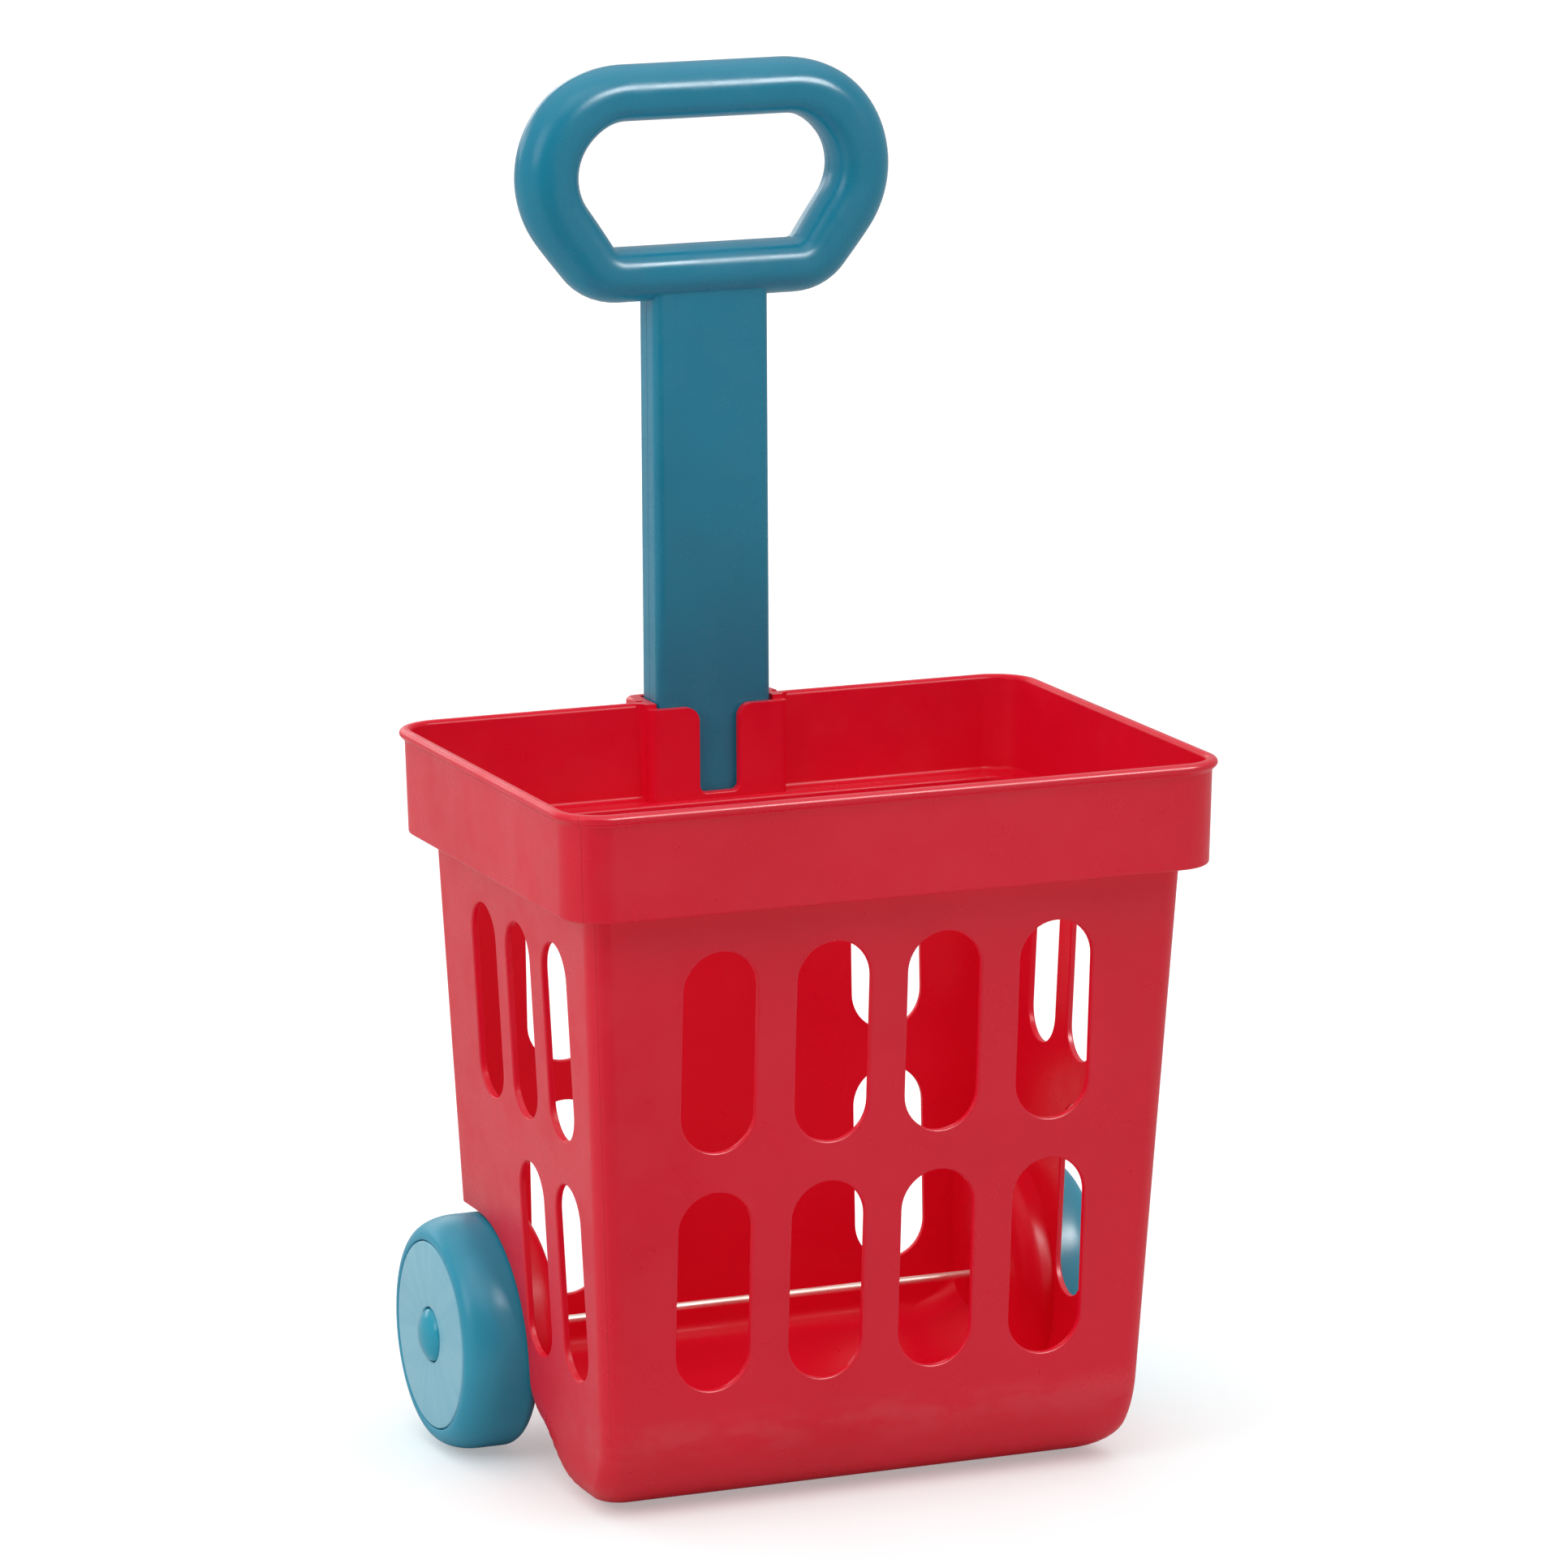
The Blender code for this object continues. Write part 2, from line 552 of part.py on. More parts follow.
def handle_shell(tag, side, hollows):
    """Front (side -1) or rear (side 1) half of the hollow handle."""
    shell = add_part("handle_%s_shell" % tag, bar(0.0, BAR_BOTTOM, BAR_R), TEAL, channel_axis)
    boolean(shell, channel_cutter("grip_outer_" + tag, grip_tube("grip_outer", GRIP_R)), "UNION")
    for hollow in hollows:
        boolean(shell, hollow)
    for i, (_, x, z, face) in enumerate(SCREWS):
        deep = face - SHELL_T + BOSS_OVERLAP
        boss = cylinder(SCREW_BOSS_R, deep, 16, "Y", (x, side * deep / 2, z - RIM_Z))
        boolean(shell, channel_cutter("boss_%s_%d" % (tag, i), boss), "UNION")
    depth = (-40.0, -SEAM / 2) if side < 0 else (SEAM / 2, 40.0)
    half = box(centred(120), depth, (-120, 300))
    boolean(shell, channel_cutter("half_" + tag, half), "INTERSECT")
    for i, (_, x, z, face) in enumerate(SCREWS):
        shaft = cylinder(SCREW_HOLE_R, face + 5.5, 16, "Y",
                         (x, (face + 1.0) / 2 - 2.8, z - RIM_Z))
        boolean(shell, channel_cutter("shaft_%s_%d" % (tag, i), shaft))
        if side > 0:
            head = cylinder(SCREW_HEAD_HOLE_R, 6.0, 20, "Y", (x, face + 0.5, z - RIM_Z))
            boolean(shell, channel_cutter("head_%d" % i, head))


def handle_screw(tag, x, z, face):
    """Pan head and shank as one turned body, head to the rear."""
    seat = face - SEAT_DEPTH
    # radius, y
    profile = [(0.0, seat + 1.5), (1.5, seat + 1.3), (2.5, seat + 0.6), (2.5, seat),
               (1.25, seat), (1.25, -4.4), (0.6, -5.0), (0.0, -5.0)]
    bm = bmesh.new()
    verts = [bm.verts.new((r * MM, 0, h * MM)) for r, h in profile]
    edges = [bm.edges.new(pair) for pair in zip(verts, verts[1:])]
    bmesh.ops.spin(bm, geom=verts + edges, cent=(0, 0, 0), axis=(0, 0, 1), angle=math.tau,
                   steps=14, use_merge=True, use_duplicate=False)
    bmesh.ops.remove_doubles(bm, verts=bm.verts, dist=1e-6)
    bmesh.ops.recalc_face_normals(bm, faces=bm.faces)
    place = Matrix.Translation(Vector((x, 0, z - RIM_Z)) * MM) @ TURN_Z_TO["Y"]
    bmesh.ops.transform(bm, verts=bm.verts, matrix=place)
    add_part("handle_screw_" + tag, bm, ZINC, channel_axis)


def plug_box(shrink, low, high):
    """Box shrunk from the bar's section, z measured from the bar's bottom."""
    return box(centred(BAR_X - shrink), centred(BAR_T / 2 - shrink),
               (BAR_BOTTOM + low - RIM_Z, BAR_BOTTOM + high - RIM_Z))


def handle_plug():
    """Plate under the bar with a hollow stem up inside it."""
    plate = plug_box(PLUG_INSET, -PLUG_GAP - PLUG_T, -PLUG_GAP)
    plug = add_part("handle_end_plug", plate, TEAL, channel_axis)
    stem = plug_box(SHELL_T + STEM_PLAY, -STEM_ROOT, STEM_RISE)
    round_uprights(stem, STEM_R, segments=2)
    boolean(plug, channel_cutter("plug_stem", stem), "UNION")
    hollow = plug_box(PLUG_HOLLOW_INSET, -10.0, PLUG_HOLLOW_RISE)
    boolean(plug, channel_cutter("plug_hollow", hollow))


# ---- wheel pieces, in the axle frame -----------------------------------------
def shoulder(r0, x0, r1, x1, steps):
    """Quarter of an ellipse from (r0, x0) on the face to (r1, x1) on the tread."""
    angles = [math.pi / 2 * i / steps for i in range(steps + 1)]
    return [(r0 + (r1 - r0) * math.sin(a), x1 + (x0 - x1) * math.cos(a)) for a in angles]


# profiles: radius, distance from the middle of the axle
TREAD = [
    (DISC_R + 0.5, WHEEL_OUT - 0.7), (DISC_R + 1.0, WHEEL_OUT - 0.1),
    *shoulder(DISC_R + 1.4, WHEEL_OUT, WHEEL_R, 112.5, 5),
    (WHEEL_R, 100.6), (WHEEL_R - 0.7, 98.9), (WHEEL_R - 2.4, WHEEL_IN),
    (SLEEVE_R, WHEEL_IN), (SLEEVE_R, SLEEVE_IN), (ROD_HOLE_R, SLEEVE_IN),
    (ROD_HOLE_R, SLEEVE_OUT), (SLEEVE_R, SLEEVE_OUT), (SLEEVE_R, WEB_X), (WHEEL_R - 2.8, WEB_X),
    *reversed(shoulder(DISC_R - 1.0, WHEEL_OUT - 5.0, WHEEL_R - 2.6, 111.5, 3)),
    (DISC_R - 1.6, WHEEL_OUT - 2.7), (DISC_R + 0.4, WHEEL_OUT - 2.7),
]
FACE = [
    (DISC_R - 0.5, WHEEL_OUT), (DISC_R, WHEEL_OUT - 0.5), (DISC_R, WHEEL_OUT - 2.4),
    (COLLAR_R, WHEEL_OUT - 2.4), (COLLAR_R, WHEEL_OUT - 9.0), (HUB_HOLE_R, WHEEL_OUT - 9.0),
    (HUB_HOLE_R, WHEEL_OUT - 0.2), (HUB_HOLE_R + 0.6, WHEEL_OUT + 0.1),
    (HUB_HOLE_R + 12, WHEEL_OUT + 0.3),
]
CAP = [
    (0.0, 129.3), (2.8, 129.0), (5.4, 128.1), (7.6, 126.6), (9.0, 124.6), (CAP_R, 122.2),
    (CAP_R, CAP_IN), (CAP_HOLE_R, CAP_IN), (CAP_HOLE_R, ROD_HALF + 0.4), (0.0, ROD_HALF + 0.4),
]
WASHER = [(WASHER_R, WASHER_OUT), (WASHER_R, WASHER_IN),
          (CAP_HOLE_R, WASHER_IN), (CAP_HOLE_R, WASHER_OUT)]

# name, profile, material, steps round the axle, whether the profile is a closed loop
TURNED = (("wheel_tread_", TREAD, TEAL_LIGHT, 44, True),
          ("wheel_face_", FACE, TEAL, 36, True),
          ("hub_cap_", CAP, TEAL, 20, False),
          ("axle_washer_", WASHER, STEEL, 16, True))


def turned(name, profile, mat, steps, closed, side):
    """Profile turned about the axle, pointing to the given side."""
    bm = bmesh.new()
    verts = [bm.verts.new((r * MM, 0, x * MM)) for r, x in profile]
    for pair in zip(verts, verts[1:] + (verts[:1] if closed else [])):
        bm.edges.new(pair)
    ob = add_part(name, bm, mat, axle)
    mod = ob.modifiers.new("turn", "SCREW")
    mod.axis = "Z"
    mod.angle = math.tau
    mod.steps = mod.render_steps = steps
    mod.use_merge_vertices = True
    mod.merge_threshold = 0.00001
    mod.use_smooth_shade = True
    ob.rotation_euler = (0, side * math.pi / 2, 0)


# ---- build -------------------------------------------------------------------
def build_basket():
    basket = basket_body()
    cut_cavity(basket)
    add_channel(basket)
    cut_wells(basket)
    cut_slots(basket)


def build_handle():
    hollows = (channel_cutter("bar_inside", bar(SHELL_T, BAR_BOTTOM - 5.0, BAR_R_IN)),
               channel_cutter("grip_inside", grip_tube("grip_inside", GRIP_R - SHELL_T)))
    handle_shell("front", -1, hollows)
    handle_shell("rear", 1, hollows)
    for screw in SCREWS:
        handle_screw(*screw)
    handle_plug()


def build_wheels():
    for side, tag in SIDES:
        for name, *shape in TURNED:
            turned(name + tag, *shape, side)
    add_part("axle_rod", cylinder(ROD_R, 2 * ROD_HALF, 20, "X", (0, 0, 0)), STEEL, axle)


build_basket()
build_handle()
build_wheels()
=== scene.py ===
"""Looks for the child's rolling shopping basket: fine surfaces, plastics and steel, studio."""

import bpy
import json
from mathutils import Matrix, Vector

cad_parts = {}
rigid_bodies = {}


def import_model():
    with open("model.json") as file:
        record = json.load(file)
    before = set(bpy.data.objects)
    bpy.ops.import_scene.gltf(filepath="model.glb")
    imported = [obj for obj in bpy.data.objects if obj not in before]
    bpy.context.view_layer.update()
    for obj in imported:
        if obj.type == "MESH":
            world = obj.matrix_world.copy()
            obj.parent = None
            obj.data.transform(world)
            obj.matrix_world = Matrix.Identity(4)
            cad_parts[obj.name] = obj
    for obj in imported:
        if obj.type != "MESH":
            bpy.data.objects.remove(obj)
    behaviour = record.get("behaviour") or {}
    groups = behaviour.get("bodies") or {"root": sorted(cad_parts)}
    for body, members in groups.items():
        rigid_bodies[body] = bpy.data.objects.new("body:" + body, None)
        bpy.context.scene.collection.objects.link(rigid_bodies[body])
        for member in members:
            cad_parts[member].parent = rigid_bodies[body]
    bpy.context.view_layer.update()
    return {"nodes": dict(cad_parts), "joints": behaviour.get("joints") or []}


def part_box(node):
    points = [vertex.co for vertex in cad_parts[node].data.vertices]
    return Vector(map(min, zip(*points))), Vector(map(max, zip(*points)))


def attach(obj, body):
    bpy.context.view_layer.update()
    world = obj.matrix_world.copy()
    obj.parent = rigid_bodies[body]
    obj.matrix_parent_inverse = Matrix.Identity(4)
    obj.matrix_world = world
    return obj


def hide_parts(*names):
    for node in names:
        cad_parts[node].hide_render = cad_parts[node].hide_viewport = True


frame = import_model()

import json
import math

import bmesh
import bpy
from mathutils import Matrix, Vector

MM = 0.001
JOINTS = {j["name"]: j for j in frame["joints"]}
AX, AY, AZ = (v / MM for v in JOINTS["axle_spin"]["pos_m"])
SLIDE = Vector(JOINTS["handle_slide"]["axis"]).normalized()
LEAN = math.atan2(SLIDE.y, SLIDE.z)


def node_box(name):
    lo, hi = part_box(name)
    return [v / MM for v in lo], [v / MM for v in hi]


B_LO, B_HI = node_box("basket")
RIM_Z = 263.7
H_HI = node_box("handle_front_shell")[1][2]

# the same design sizes as the frame (mm)
WALL = 2.6
BEAD_Z, BEAD_OUT = 258.7, 1.9
STEP_Z = 225.1
BAND_X, BAND_Y, BAND_GROW, BAND_R = 123.3, 91.6, 0.8, 16.0
BODY_X0, BODY_XS = 102.2, 0.05035
BODY_F0, BODY_FS = 64.1, 0.07437
BODY_K0, BODY_KS = 75.6, 0.02694
BODY_R = 8.0
FOOT_SIDE, FOOT_SIDE_REAR, FOOT_FRONT, FOOT_BACK = 14.0, 36.0, 33.0, 5.0
FLOOR_T = 2.8
RAMP_Y, RAMP_SLOPE = 8.9, 0.37
SLOT_HALF, SLOT_X = 14.0, (21.1, 64.0)
ROW_UP, ROW_LOW = (135.3, 208.7), (47.1, 120.5)
SIDE_HALF, SIDE_Y = 12.0, (-40.0, -3.6, 31.0)
PLATE_Y, PLATE_T, CH_X, CH_BORE_X, CH_BORE_Y = 81.6, 3.6, 25.7, 23.1, 19.4
CH_BOTTOM, PLATE_TOP = 48.0, 262.2
NOTCH_HALF, NOTCH_Z = 7.7, 230.1
WELL_R, WELL_X, BOSS_R, BOSS_X = 44.4, 92.6, 7.0, 94.5
BAR_X, BAR_T, BAR_BOTTOM = 22.5, 17.8, 205.0
ROD_R, ROD_HALF = 1.5, 126.0
WHEEL_R, WHEEL_IN, WHEEL_OUT = 42.9, 98.2, 126.2
DISC_R, HUB_R, CAP_R = 34.4, 10.2, 9.8
HALF = CH_BORE_Y / 2
CH_MID = PLATE_Y + PLATE_T + HALF
RIB_X = (12.5, 15.1)

work = bpy.data.collections.new("work")
bpy.context.scene.collection.children.link(work)


# ---------------------------------------------------------------- helpers
def mesh_from(name, verts, faces):
    me = bpy.data.meshes.new(name)
    me.from_pydata([tuple(c * MM for c in v) for v in verts], [], faces)
    me.update()
    return me


def put(name, me, mat=None, coll=None):
    ob = bpy.data.objects.new(name, me)
    (coll or bpy.context.scene.collection).objects.link(ob)
    if mat is not None:
        me.materials.clear()
        me.materials.append(mat)
    return ob


def from_bm(name, bm, coll=None, mat=None):
    me = bpy.data.meshes.new(name)
    bm.to_mesh(me)
    bm.free()
    return put(name, me, mat, coll)


def tool(name, what):
    ob = from_bm(name, what, work) if isinstance(what, bmesh.types.BMesh) else put(name, what, None, work)
    ob.hide_render = True
    ob.hide_viewport = False
    return ob


def boolean(ob, other, op="DIFFERENCE"):
    m = ob.modifiers.new("b", "BOOLEAN")
    m.operation, m.solver, m.object = op, "EXACT", other


def evaluated(ob):
    deps = bpy.context.evaluated_depsgraph_get()
    me = bpy.data.meshes.new_from_object(ob.evaluated_get(deps))
    return me


def settle(ob):
    """Replaces an object's mesh by its evaluated mesh, and drops its modifiers."""
    me = evaluated(ob)
    ob.modifiers.clear()
    old = ob.data
    ob.data = me
    me.name = ob.name
    bpy.data.meshes.remove(old)
    return ob


def outline(hx, front, back, rf, rb, zf, n=12, m=22):
    """Closed loop round the basket, front to back up the right side and mirrored down the left."""
    right = []
    y0, y1 = -(front - rf), back - rb
    for i in range(n + 1):
        a = math.pi / 2 * i / n
        right.append((hx(y0) - rf + rf * math.sin(a), y0 - rf * math.cos(a)))
    right += [(hx(y0 + (y1 - y0) * j / m), y0 + (y1 - y0) * j / m) for j in range(1, m)]
    for i in range(n + 1):
        a = math.pi / 2 * i / n
        right.append((hx(y1) - rb + rb * math.cos(a), y1 + rb * math.sin(a)))
    loop = [(x, y, zf(y)) for x, y in right]
    return loop + [(-x, y, z) for x, y, z in reversed(loop)]


def loft(name, rings):
    """Skin over equal loops; the first loop is closed by strips across, the last by one face."""
    n = len(rings[0])
    half = n // 2
    verts = [p for r in rings for p in r]
    faces = [(i, n - 1 - i, n - 2 - i, i + 1) for i in range(half - 1)]
    for k in range(len(rings) - 1):
        a, b = k * n, (k + 1) * n
        for i in range(n):
            j = (i + 1) % n
            faces.append((a + i, a + j, b + j, b + i))
    faces.append(tuple(range((len(rings) - 1) * n, len(rings) * n)))
    return mesh_from(name, verts, faces)


def inset(r, h):
    return 0.0 if h >= r else r - math.sqrt(max(0.0, r * r - (r - h) ** 2))


def side_radius(y):
    """The side's bottom fillet opens out towards the wheels."""
    t = min(1.0, max(0.0, (y + 22.0) / 34.0))
    return FOOT_SIDE + (FOOT_SIDE_REAR - FOOT_SIDE) * t * t * (3 - 2 * t)


def ramp_z(y):
    """The floor climbs behind the foot, with a soft crease."""
    w = 7.0
    t = y - RAMP_Y
    if t <= -w:
        return 0.0
    return RAMP_SLOPE * t if t >= w else RAMP_SLOPE * (t + w) ** 2 / (4 * w)


def body_ring(h, off, base):
    """Loop at height h over the (climbing) bottom; off is the distance inside the outer wall."""
    fade = max(0.0, 1.0 - h / 150.0)
    zf = lambda y: base + h + ramp_z(y) * fade
    hx = lambda y: BODY_X0 + BODY_XS * zf(y) - off - inset(side_radius(y) - off, h)
    fr = BODY_F0 + BODY_FS * (base + h) - off - inset(FOOT_FRONT - off, h)
    bk = BODY_K0 + BODY_KS * zf(BODY_K0) - off - inset(FOOT_BACK, h)
    r = max(BODY_R - off + 0.15 * inset(FOOT_SIDE - off, h), 1.5)
    return outline(hx, fr, bk, r, max(BODY_R - off, 1.5), zf)


def ring(hx, front, back, z, r):
    return outline(lambda y: hx, front, back, r, r, lambda y: z)


def band_ring(z, off, extra=0.0):
    g = BAND_GROW * (z - STEP_Z) / (RIM_Z - STEP_Z) + extra - off
    return ring(BAND_X + g, BAND_Y + g, BAND_Y + g, z, BAND_R + extra - off)


def between(z, grow, r_grow):
    """Ring part way across the step between body and band, growing out by grow."""
    return ring(BODY_X0 + BODY_XS * STEP_Z + grow, BODY_F0 + BODY_FS * STEP_Z + grow,
                BODY_K0 + BODY_KS * STEP_Z + grow, z, BODY_R + r_grow)


def prism_x(name, outline, x0, x1, bevel=0.0, end="lo"):
    """Outline in (y, z), pushed along x; the edge round one end can be rounded."""
    bm = bmesh.new()
    a = [bm.verts.new((x0 * MM, y * MM, z * MM)) for y, z in outline]
    b = [bm.verts.new((x1 * MM, y * MM, z * MM)) for y, z in outline]
    n = len(outline)
    fa = bm.faces.new(a)
    fb = bm.faces.new(list(reversed(b)))
    for i in range(n):
        j = (i + 1) % n
        bm.faces.new((a[j], a[i], b[i], b[j]))
    bmesh.ops.recalc_face_normals(bm, faces=bm.faces)
    if bevel:
        f = fa if end == "lo" else fb
        bmesh.ops.bevel(bm, geom=list(f.edges), offset=bevel * MM, segments=8, profile=0.5, affect="EDGES")
    return from_bm(name, bm, work)


def box_bm(x0, x1, y0, y1, z0, z1):
    bm = bmesh.new()
    bmesh.ops.create_cube(bm, size=1.0)
    bmesh.ops.scale(bm, vec=((x1 - x0) * MM, (y1 - y0) * MM, (z1 - z0) * MM), verts=bm.verts)
    bmesh.ops.translate(bm, vec=((x0 + x1) / 2 * MM, (y0 + y1) / 2 * MM, (z0 + z1) / 2 * MM), verts=bm.verts)
    return bm


def bevel_where(bm, test, width, segs=4):
    es = [e for e in bm.edges if test(e)]
    bmesh.ops.bevel(bm, geom=es, offset=width * MM, segments=segs, profile=0.5, affect="EDGES")
    return bm


def stadium(half, z0, z1, grow, n=24):
    """Round-ended slot outline in (u, z), anticlockwise."""
    r = half + grow
    zc0, zc1 = z0 + half, z1 - half
    pts = [(r * math.cos(math.pi * i / n), zc1 + r * math.sin(math.pi * i / n)) for i in range(n + 1)]
    pts += [(-r * math.cos(math.pi * i / n), zc0 - r * math.sin(math.pi * i / n)) for i in range(n + 1)]
    return pts


def edge_rings(thick, r_out=0.8, r_in=0.5):
    """(depth, growth) pairs through a wall: a cut with rolled edges on both faces."""
    out = []
    a0 = math.radians(16)
    w0 = r_out * (1 - math.sin(a0))
    d0 = r_out * (1 - math.cos(a0))
    out.append((-4.0, w0 + (d0 + 0.2) / math.tan(a0)))
    out.append((-0.2, w0 + (d0 + 0.2) / math.tan(a0)))
    for i in range(5):
        a = a0 + (math.pi / 2 - a0) * i / 4
        out.append((r_out * (1 - math.cos(a)), r_out * (1 - math.sin(a))))
    w1 = r_in * (1 - math.sin(a0))
    d1 = r_in * (1 - math.cos(a0))
    for i in range(5):
        a = math.pi / 2 - (math.pi / 2 - a0) * i / 4
        out.append((thick - r_in * (1 - math.cos(a)), r_in * (1 - math.sin(a))))
    out.append((thick + 0.2, w1 + (d1 + 0.2) / math.tan(a0)))
    out.append((thick + 4.0, w1 + (d1 + 0.2) / math.tan(a0)))
    return out


def slot_rings(half, z0, z1, thick, r_out=0.8, r_in=0.5):
    return [(d, stadium(half, z0, z1, w)) for d, w in edge_rings(thick, r_out, r_in)]


def slot_mesh(verts, faces, rings, place, flip):
    base = len(verts)
    n = len(rings[0][1])
    for d, pts in rings:
        verts += [place(u, z, d) for u, z in pts]
    m = len(rings)
    new = [tuple(base + i for i in range(n))]
    for k in range(m - 1):
        a, b = base + k * n, base + (k + 1) * n
        for i in range(n):
            j = (i + 1) % n
            new.append((a + j, a + i, b + i, b + j))
    new.append(tuple(base + (m - 1) * n + i for i in range(n - 1, -1, -1)))
    faces += [tuple(reversed(f)) for f in new] if flip else new


def well_outline(r, bottom=-80.0, rear=150.0, n=40):
    pts = [(AY - r, AZ + bottom)]
    pts += [(AY - r * math.cos(math.pi / 2 * i / n), AZ + r * math.sin(math.pi / 2 * i / n)) for i in range(n + 1)]
    pts += [(rear, AZ + r), (rear, AZ + bottom)]
    return pts


# ---------------------------------------------------------------- materials
def node_mat(name):
    m = bpy.data.materials.new(name)
    m.use_nodes = True
    nt = m.node_tree
    return m, nt, nt.nodes["Principled BSDF"]


def N(nt, kind, **kw):
    n = nt.nodes.new(kind)
    for k, v in kw.items():
        if k.startswith("i_"):
            n.inputs[k[2:].replace("_", " ")].default_value = v
        else:
            setattr(n, k, v)
    return n


def mapping(nt, scale=(1, 1, 1), rot=(0, 0, 0)):
    tc = N(nt, "ShaderNodeTexCoord")
    mp = N(nt, "ShaderNodeMapping")
    mp.inputs["Scale"].default_value = scale
    mp.inputs["Rotation"].default_value = rot
    nt.links.new(tc.outputs["Object"], mp.inputs["Vector"])
    return mp.outputs["Vector"]


def noise(nt, scale, detail=3.0, rough=0.5, vec=None, dist=0.0):
    n = N(nt, "ShaderNodeTexNoise")
    n.inputs["Scale"].default_value = scale
    n.inputs["Detail"].default_value = detail
    n.inputs["Roughness"].default_value = rough
    n.inputs["Distortion"].default_value = dist
    nt.links.new(vec if vec is not None else mapping(nt), n.inputs["Vector"])
    return n.outputs["Fac"]


def ramp(nt, fac, lo, hi, a=0.0, b=1.0):
    r = N(nt, "ShaderNodeMapRange")
    r.interpolation_type = "SMOOTHSTEP"
    r.inputs["From Min"].default_value = lo
    r.inputs["From Max"].default_value = hi
    r.inputs["To Min"].default_value = a
    r.inputs["To Max"].default_value = b
    nt.links.new(fac, r.inputs["Value"])
    return r.outputs["Result"]


def math_n(nt, op, a, b=None, c=None):
    n = N(nt, "ShaderNodeMath")
    n.operation = op
    for i, v in enumerate((a, b, c)):
        if v is None:
            continue
        if isinstance(v, (int, float)):
            n.inputs[i].default_value = v
        else:
            nt.links.new(v, n.inputs[i])
    return n.outputs[0]


def mix_col(nt, fac, a, b):
    n = N(nt, "ShaderNodeMix", data_type="RGBA")
    for sock, v in ((n.inputs[0], fac), (n.inputs[6], a), (n.inputs[7], b)):
        if isinstance(v, (int, float)):
            sock.default_value = v
        elif isinstance(v, tuple):
            sock.default_value = (*v, 1.0)
        else:
            nt.links.new(v, sock)
    return n.outputs[2]


def bump(nt, height, strength, dist, under=None):
    b = N(nt, "ShaderNodeBump")
    b.inputs["Strength"].default_value = strength
    b.inputs["Distance"].default_value = dist
    nt.links.new(height, b.inputs["Height"])
    if under is not None:
        nt.links.new(under, b.inputs["Normal"])
    return b.outputs["Normal"]


def xyz(nt):
    tc = N(nt, "ShaderNodeTexCoord")
    s = N(nt, "ShaderNodeSeparateXYZ")
    nt.links.new(tc.outputs["Object"], s.inputs[0])
    return s.outputs


def plastic(name, base, deep, rough=0.36, spec=0.5, scuff=0.25, sss=0.0, extra=None, light=None):
    """Moulded plastic: cloudy colour, uneven sheen, hair scratches and orange peel."""
    m, nt, bs = node_mat(name)
    cloud = ramp(nt, noise(nt, 14.0, 4.0, 0.55), 0.32, 0.70)
    col = mix_col(nt, cloud, deep, base)
    speck = ramp(nt, noise(nt, 640.0, 1.0, 0.5), 0.765, 0.785)
    col = mix_col(nt, math_n(nt, "MULTIPLY", speck, 0.10), col, light or tuple(min(1.0, c * 1.5 + 0.05) for c in base))
    # hair scratches in two directions
    s1 = ramp(nt, noise(nt, 1.0, 2.0, 0.6, mapping(nt, (60, 60, 1500), (0.10, 0.16, 0.3))), 0.66, 0.72)
    s2 = ramp(nt, noise(nt, 1.0, 2.0, 0.6, mapping(nt, (1300, 1300, 40), (0.25, -0.2, 0.5))), 0.68, 0.74)
    scr = math_n(nt, "MAXIMUM", s1, s2)
    patch = ramp(nt, noise(nt, 22.0, 3.0, 0.6), 0.48, 0.68)
    scr = math_n(nt, "MULTIPLY", scr, patch)
    sheen = ramp(nt, noise(nt, 45.0, 5.0, 0.6), 0.35, 0.7, -0.05, 0.07)
    r = math_n(nt, "ADD", sheen, rough)
    r = math_n(nt, "ADD", r, math_n(nt, "MULTIPLY", scr, 0.12 * scuff / 0.25))
    nt.links.new(r, bs.inputs["Roughness"])
    peel = noise(nt, 700.0, 2.0, 0.5)
    wave = noise(nt, 26.0, 2.0, 0.5)
    nrm = bump(nt, wave, 0.10, 0.0012)
    nrm = bump(nt, peel, 0.06, 0.0002, nrm)
    nrm = bump(nt, scr, -0.10 * scuff / 0.25, 0.00005, nrm)
    if extra is not None:
        col, nrm = extra(nt, bs, col, nrm)
    nt.links.new(nrm, bs.inputs["Normal"])
    nt.links.new(col, bs.inputs["Base Color"])
    bs.inputs["Specular IOR Level"].default_value = spec
    if sss:
        bs.inputs["Subsurface Weight"].default_value = sss
        bs.inputs["Subsurface Radius"].default_value = (0.004, 0.0015, 0.001)
        bs.inputs["Subsurface Scale"].default_value = 1.0
    return m


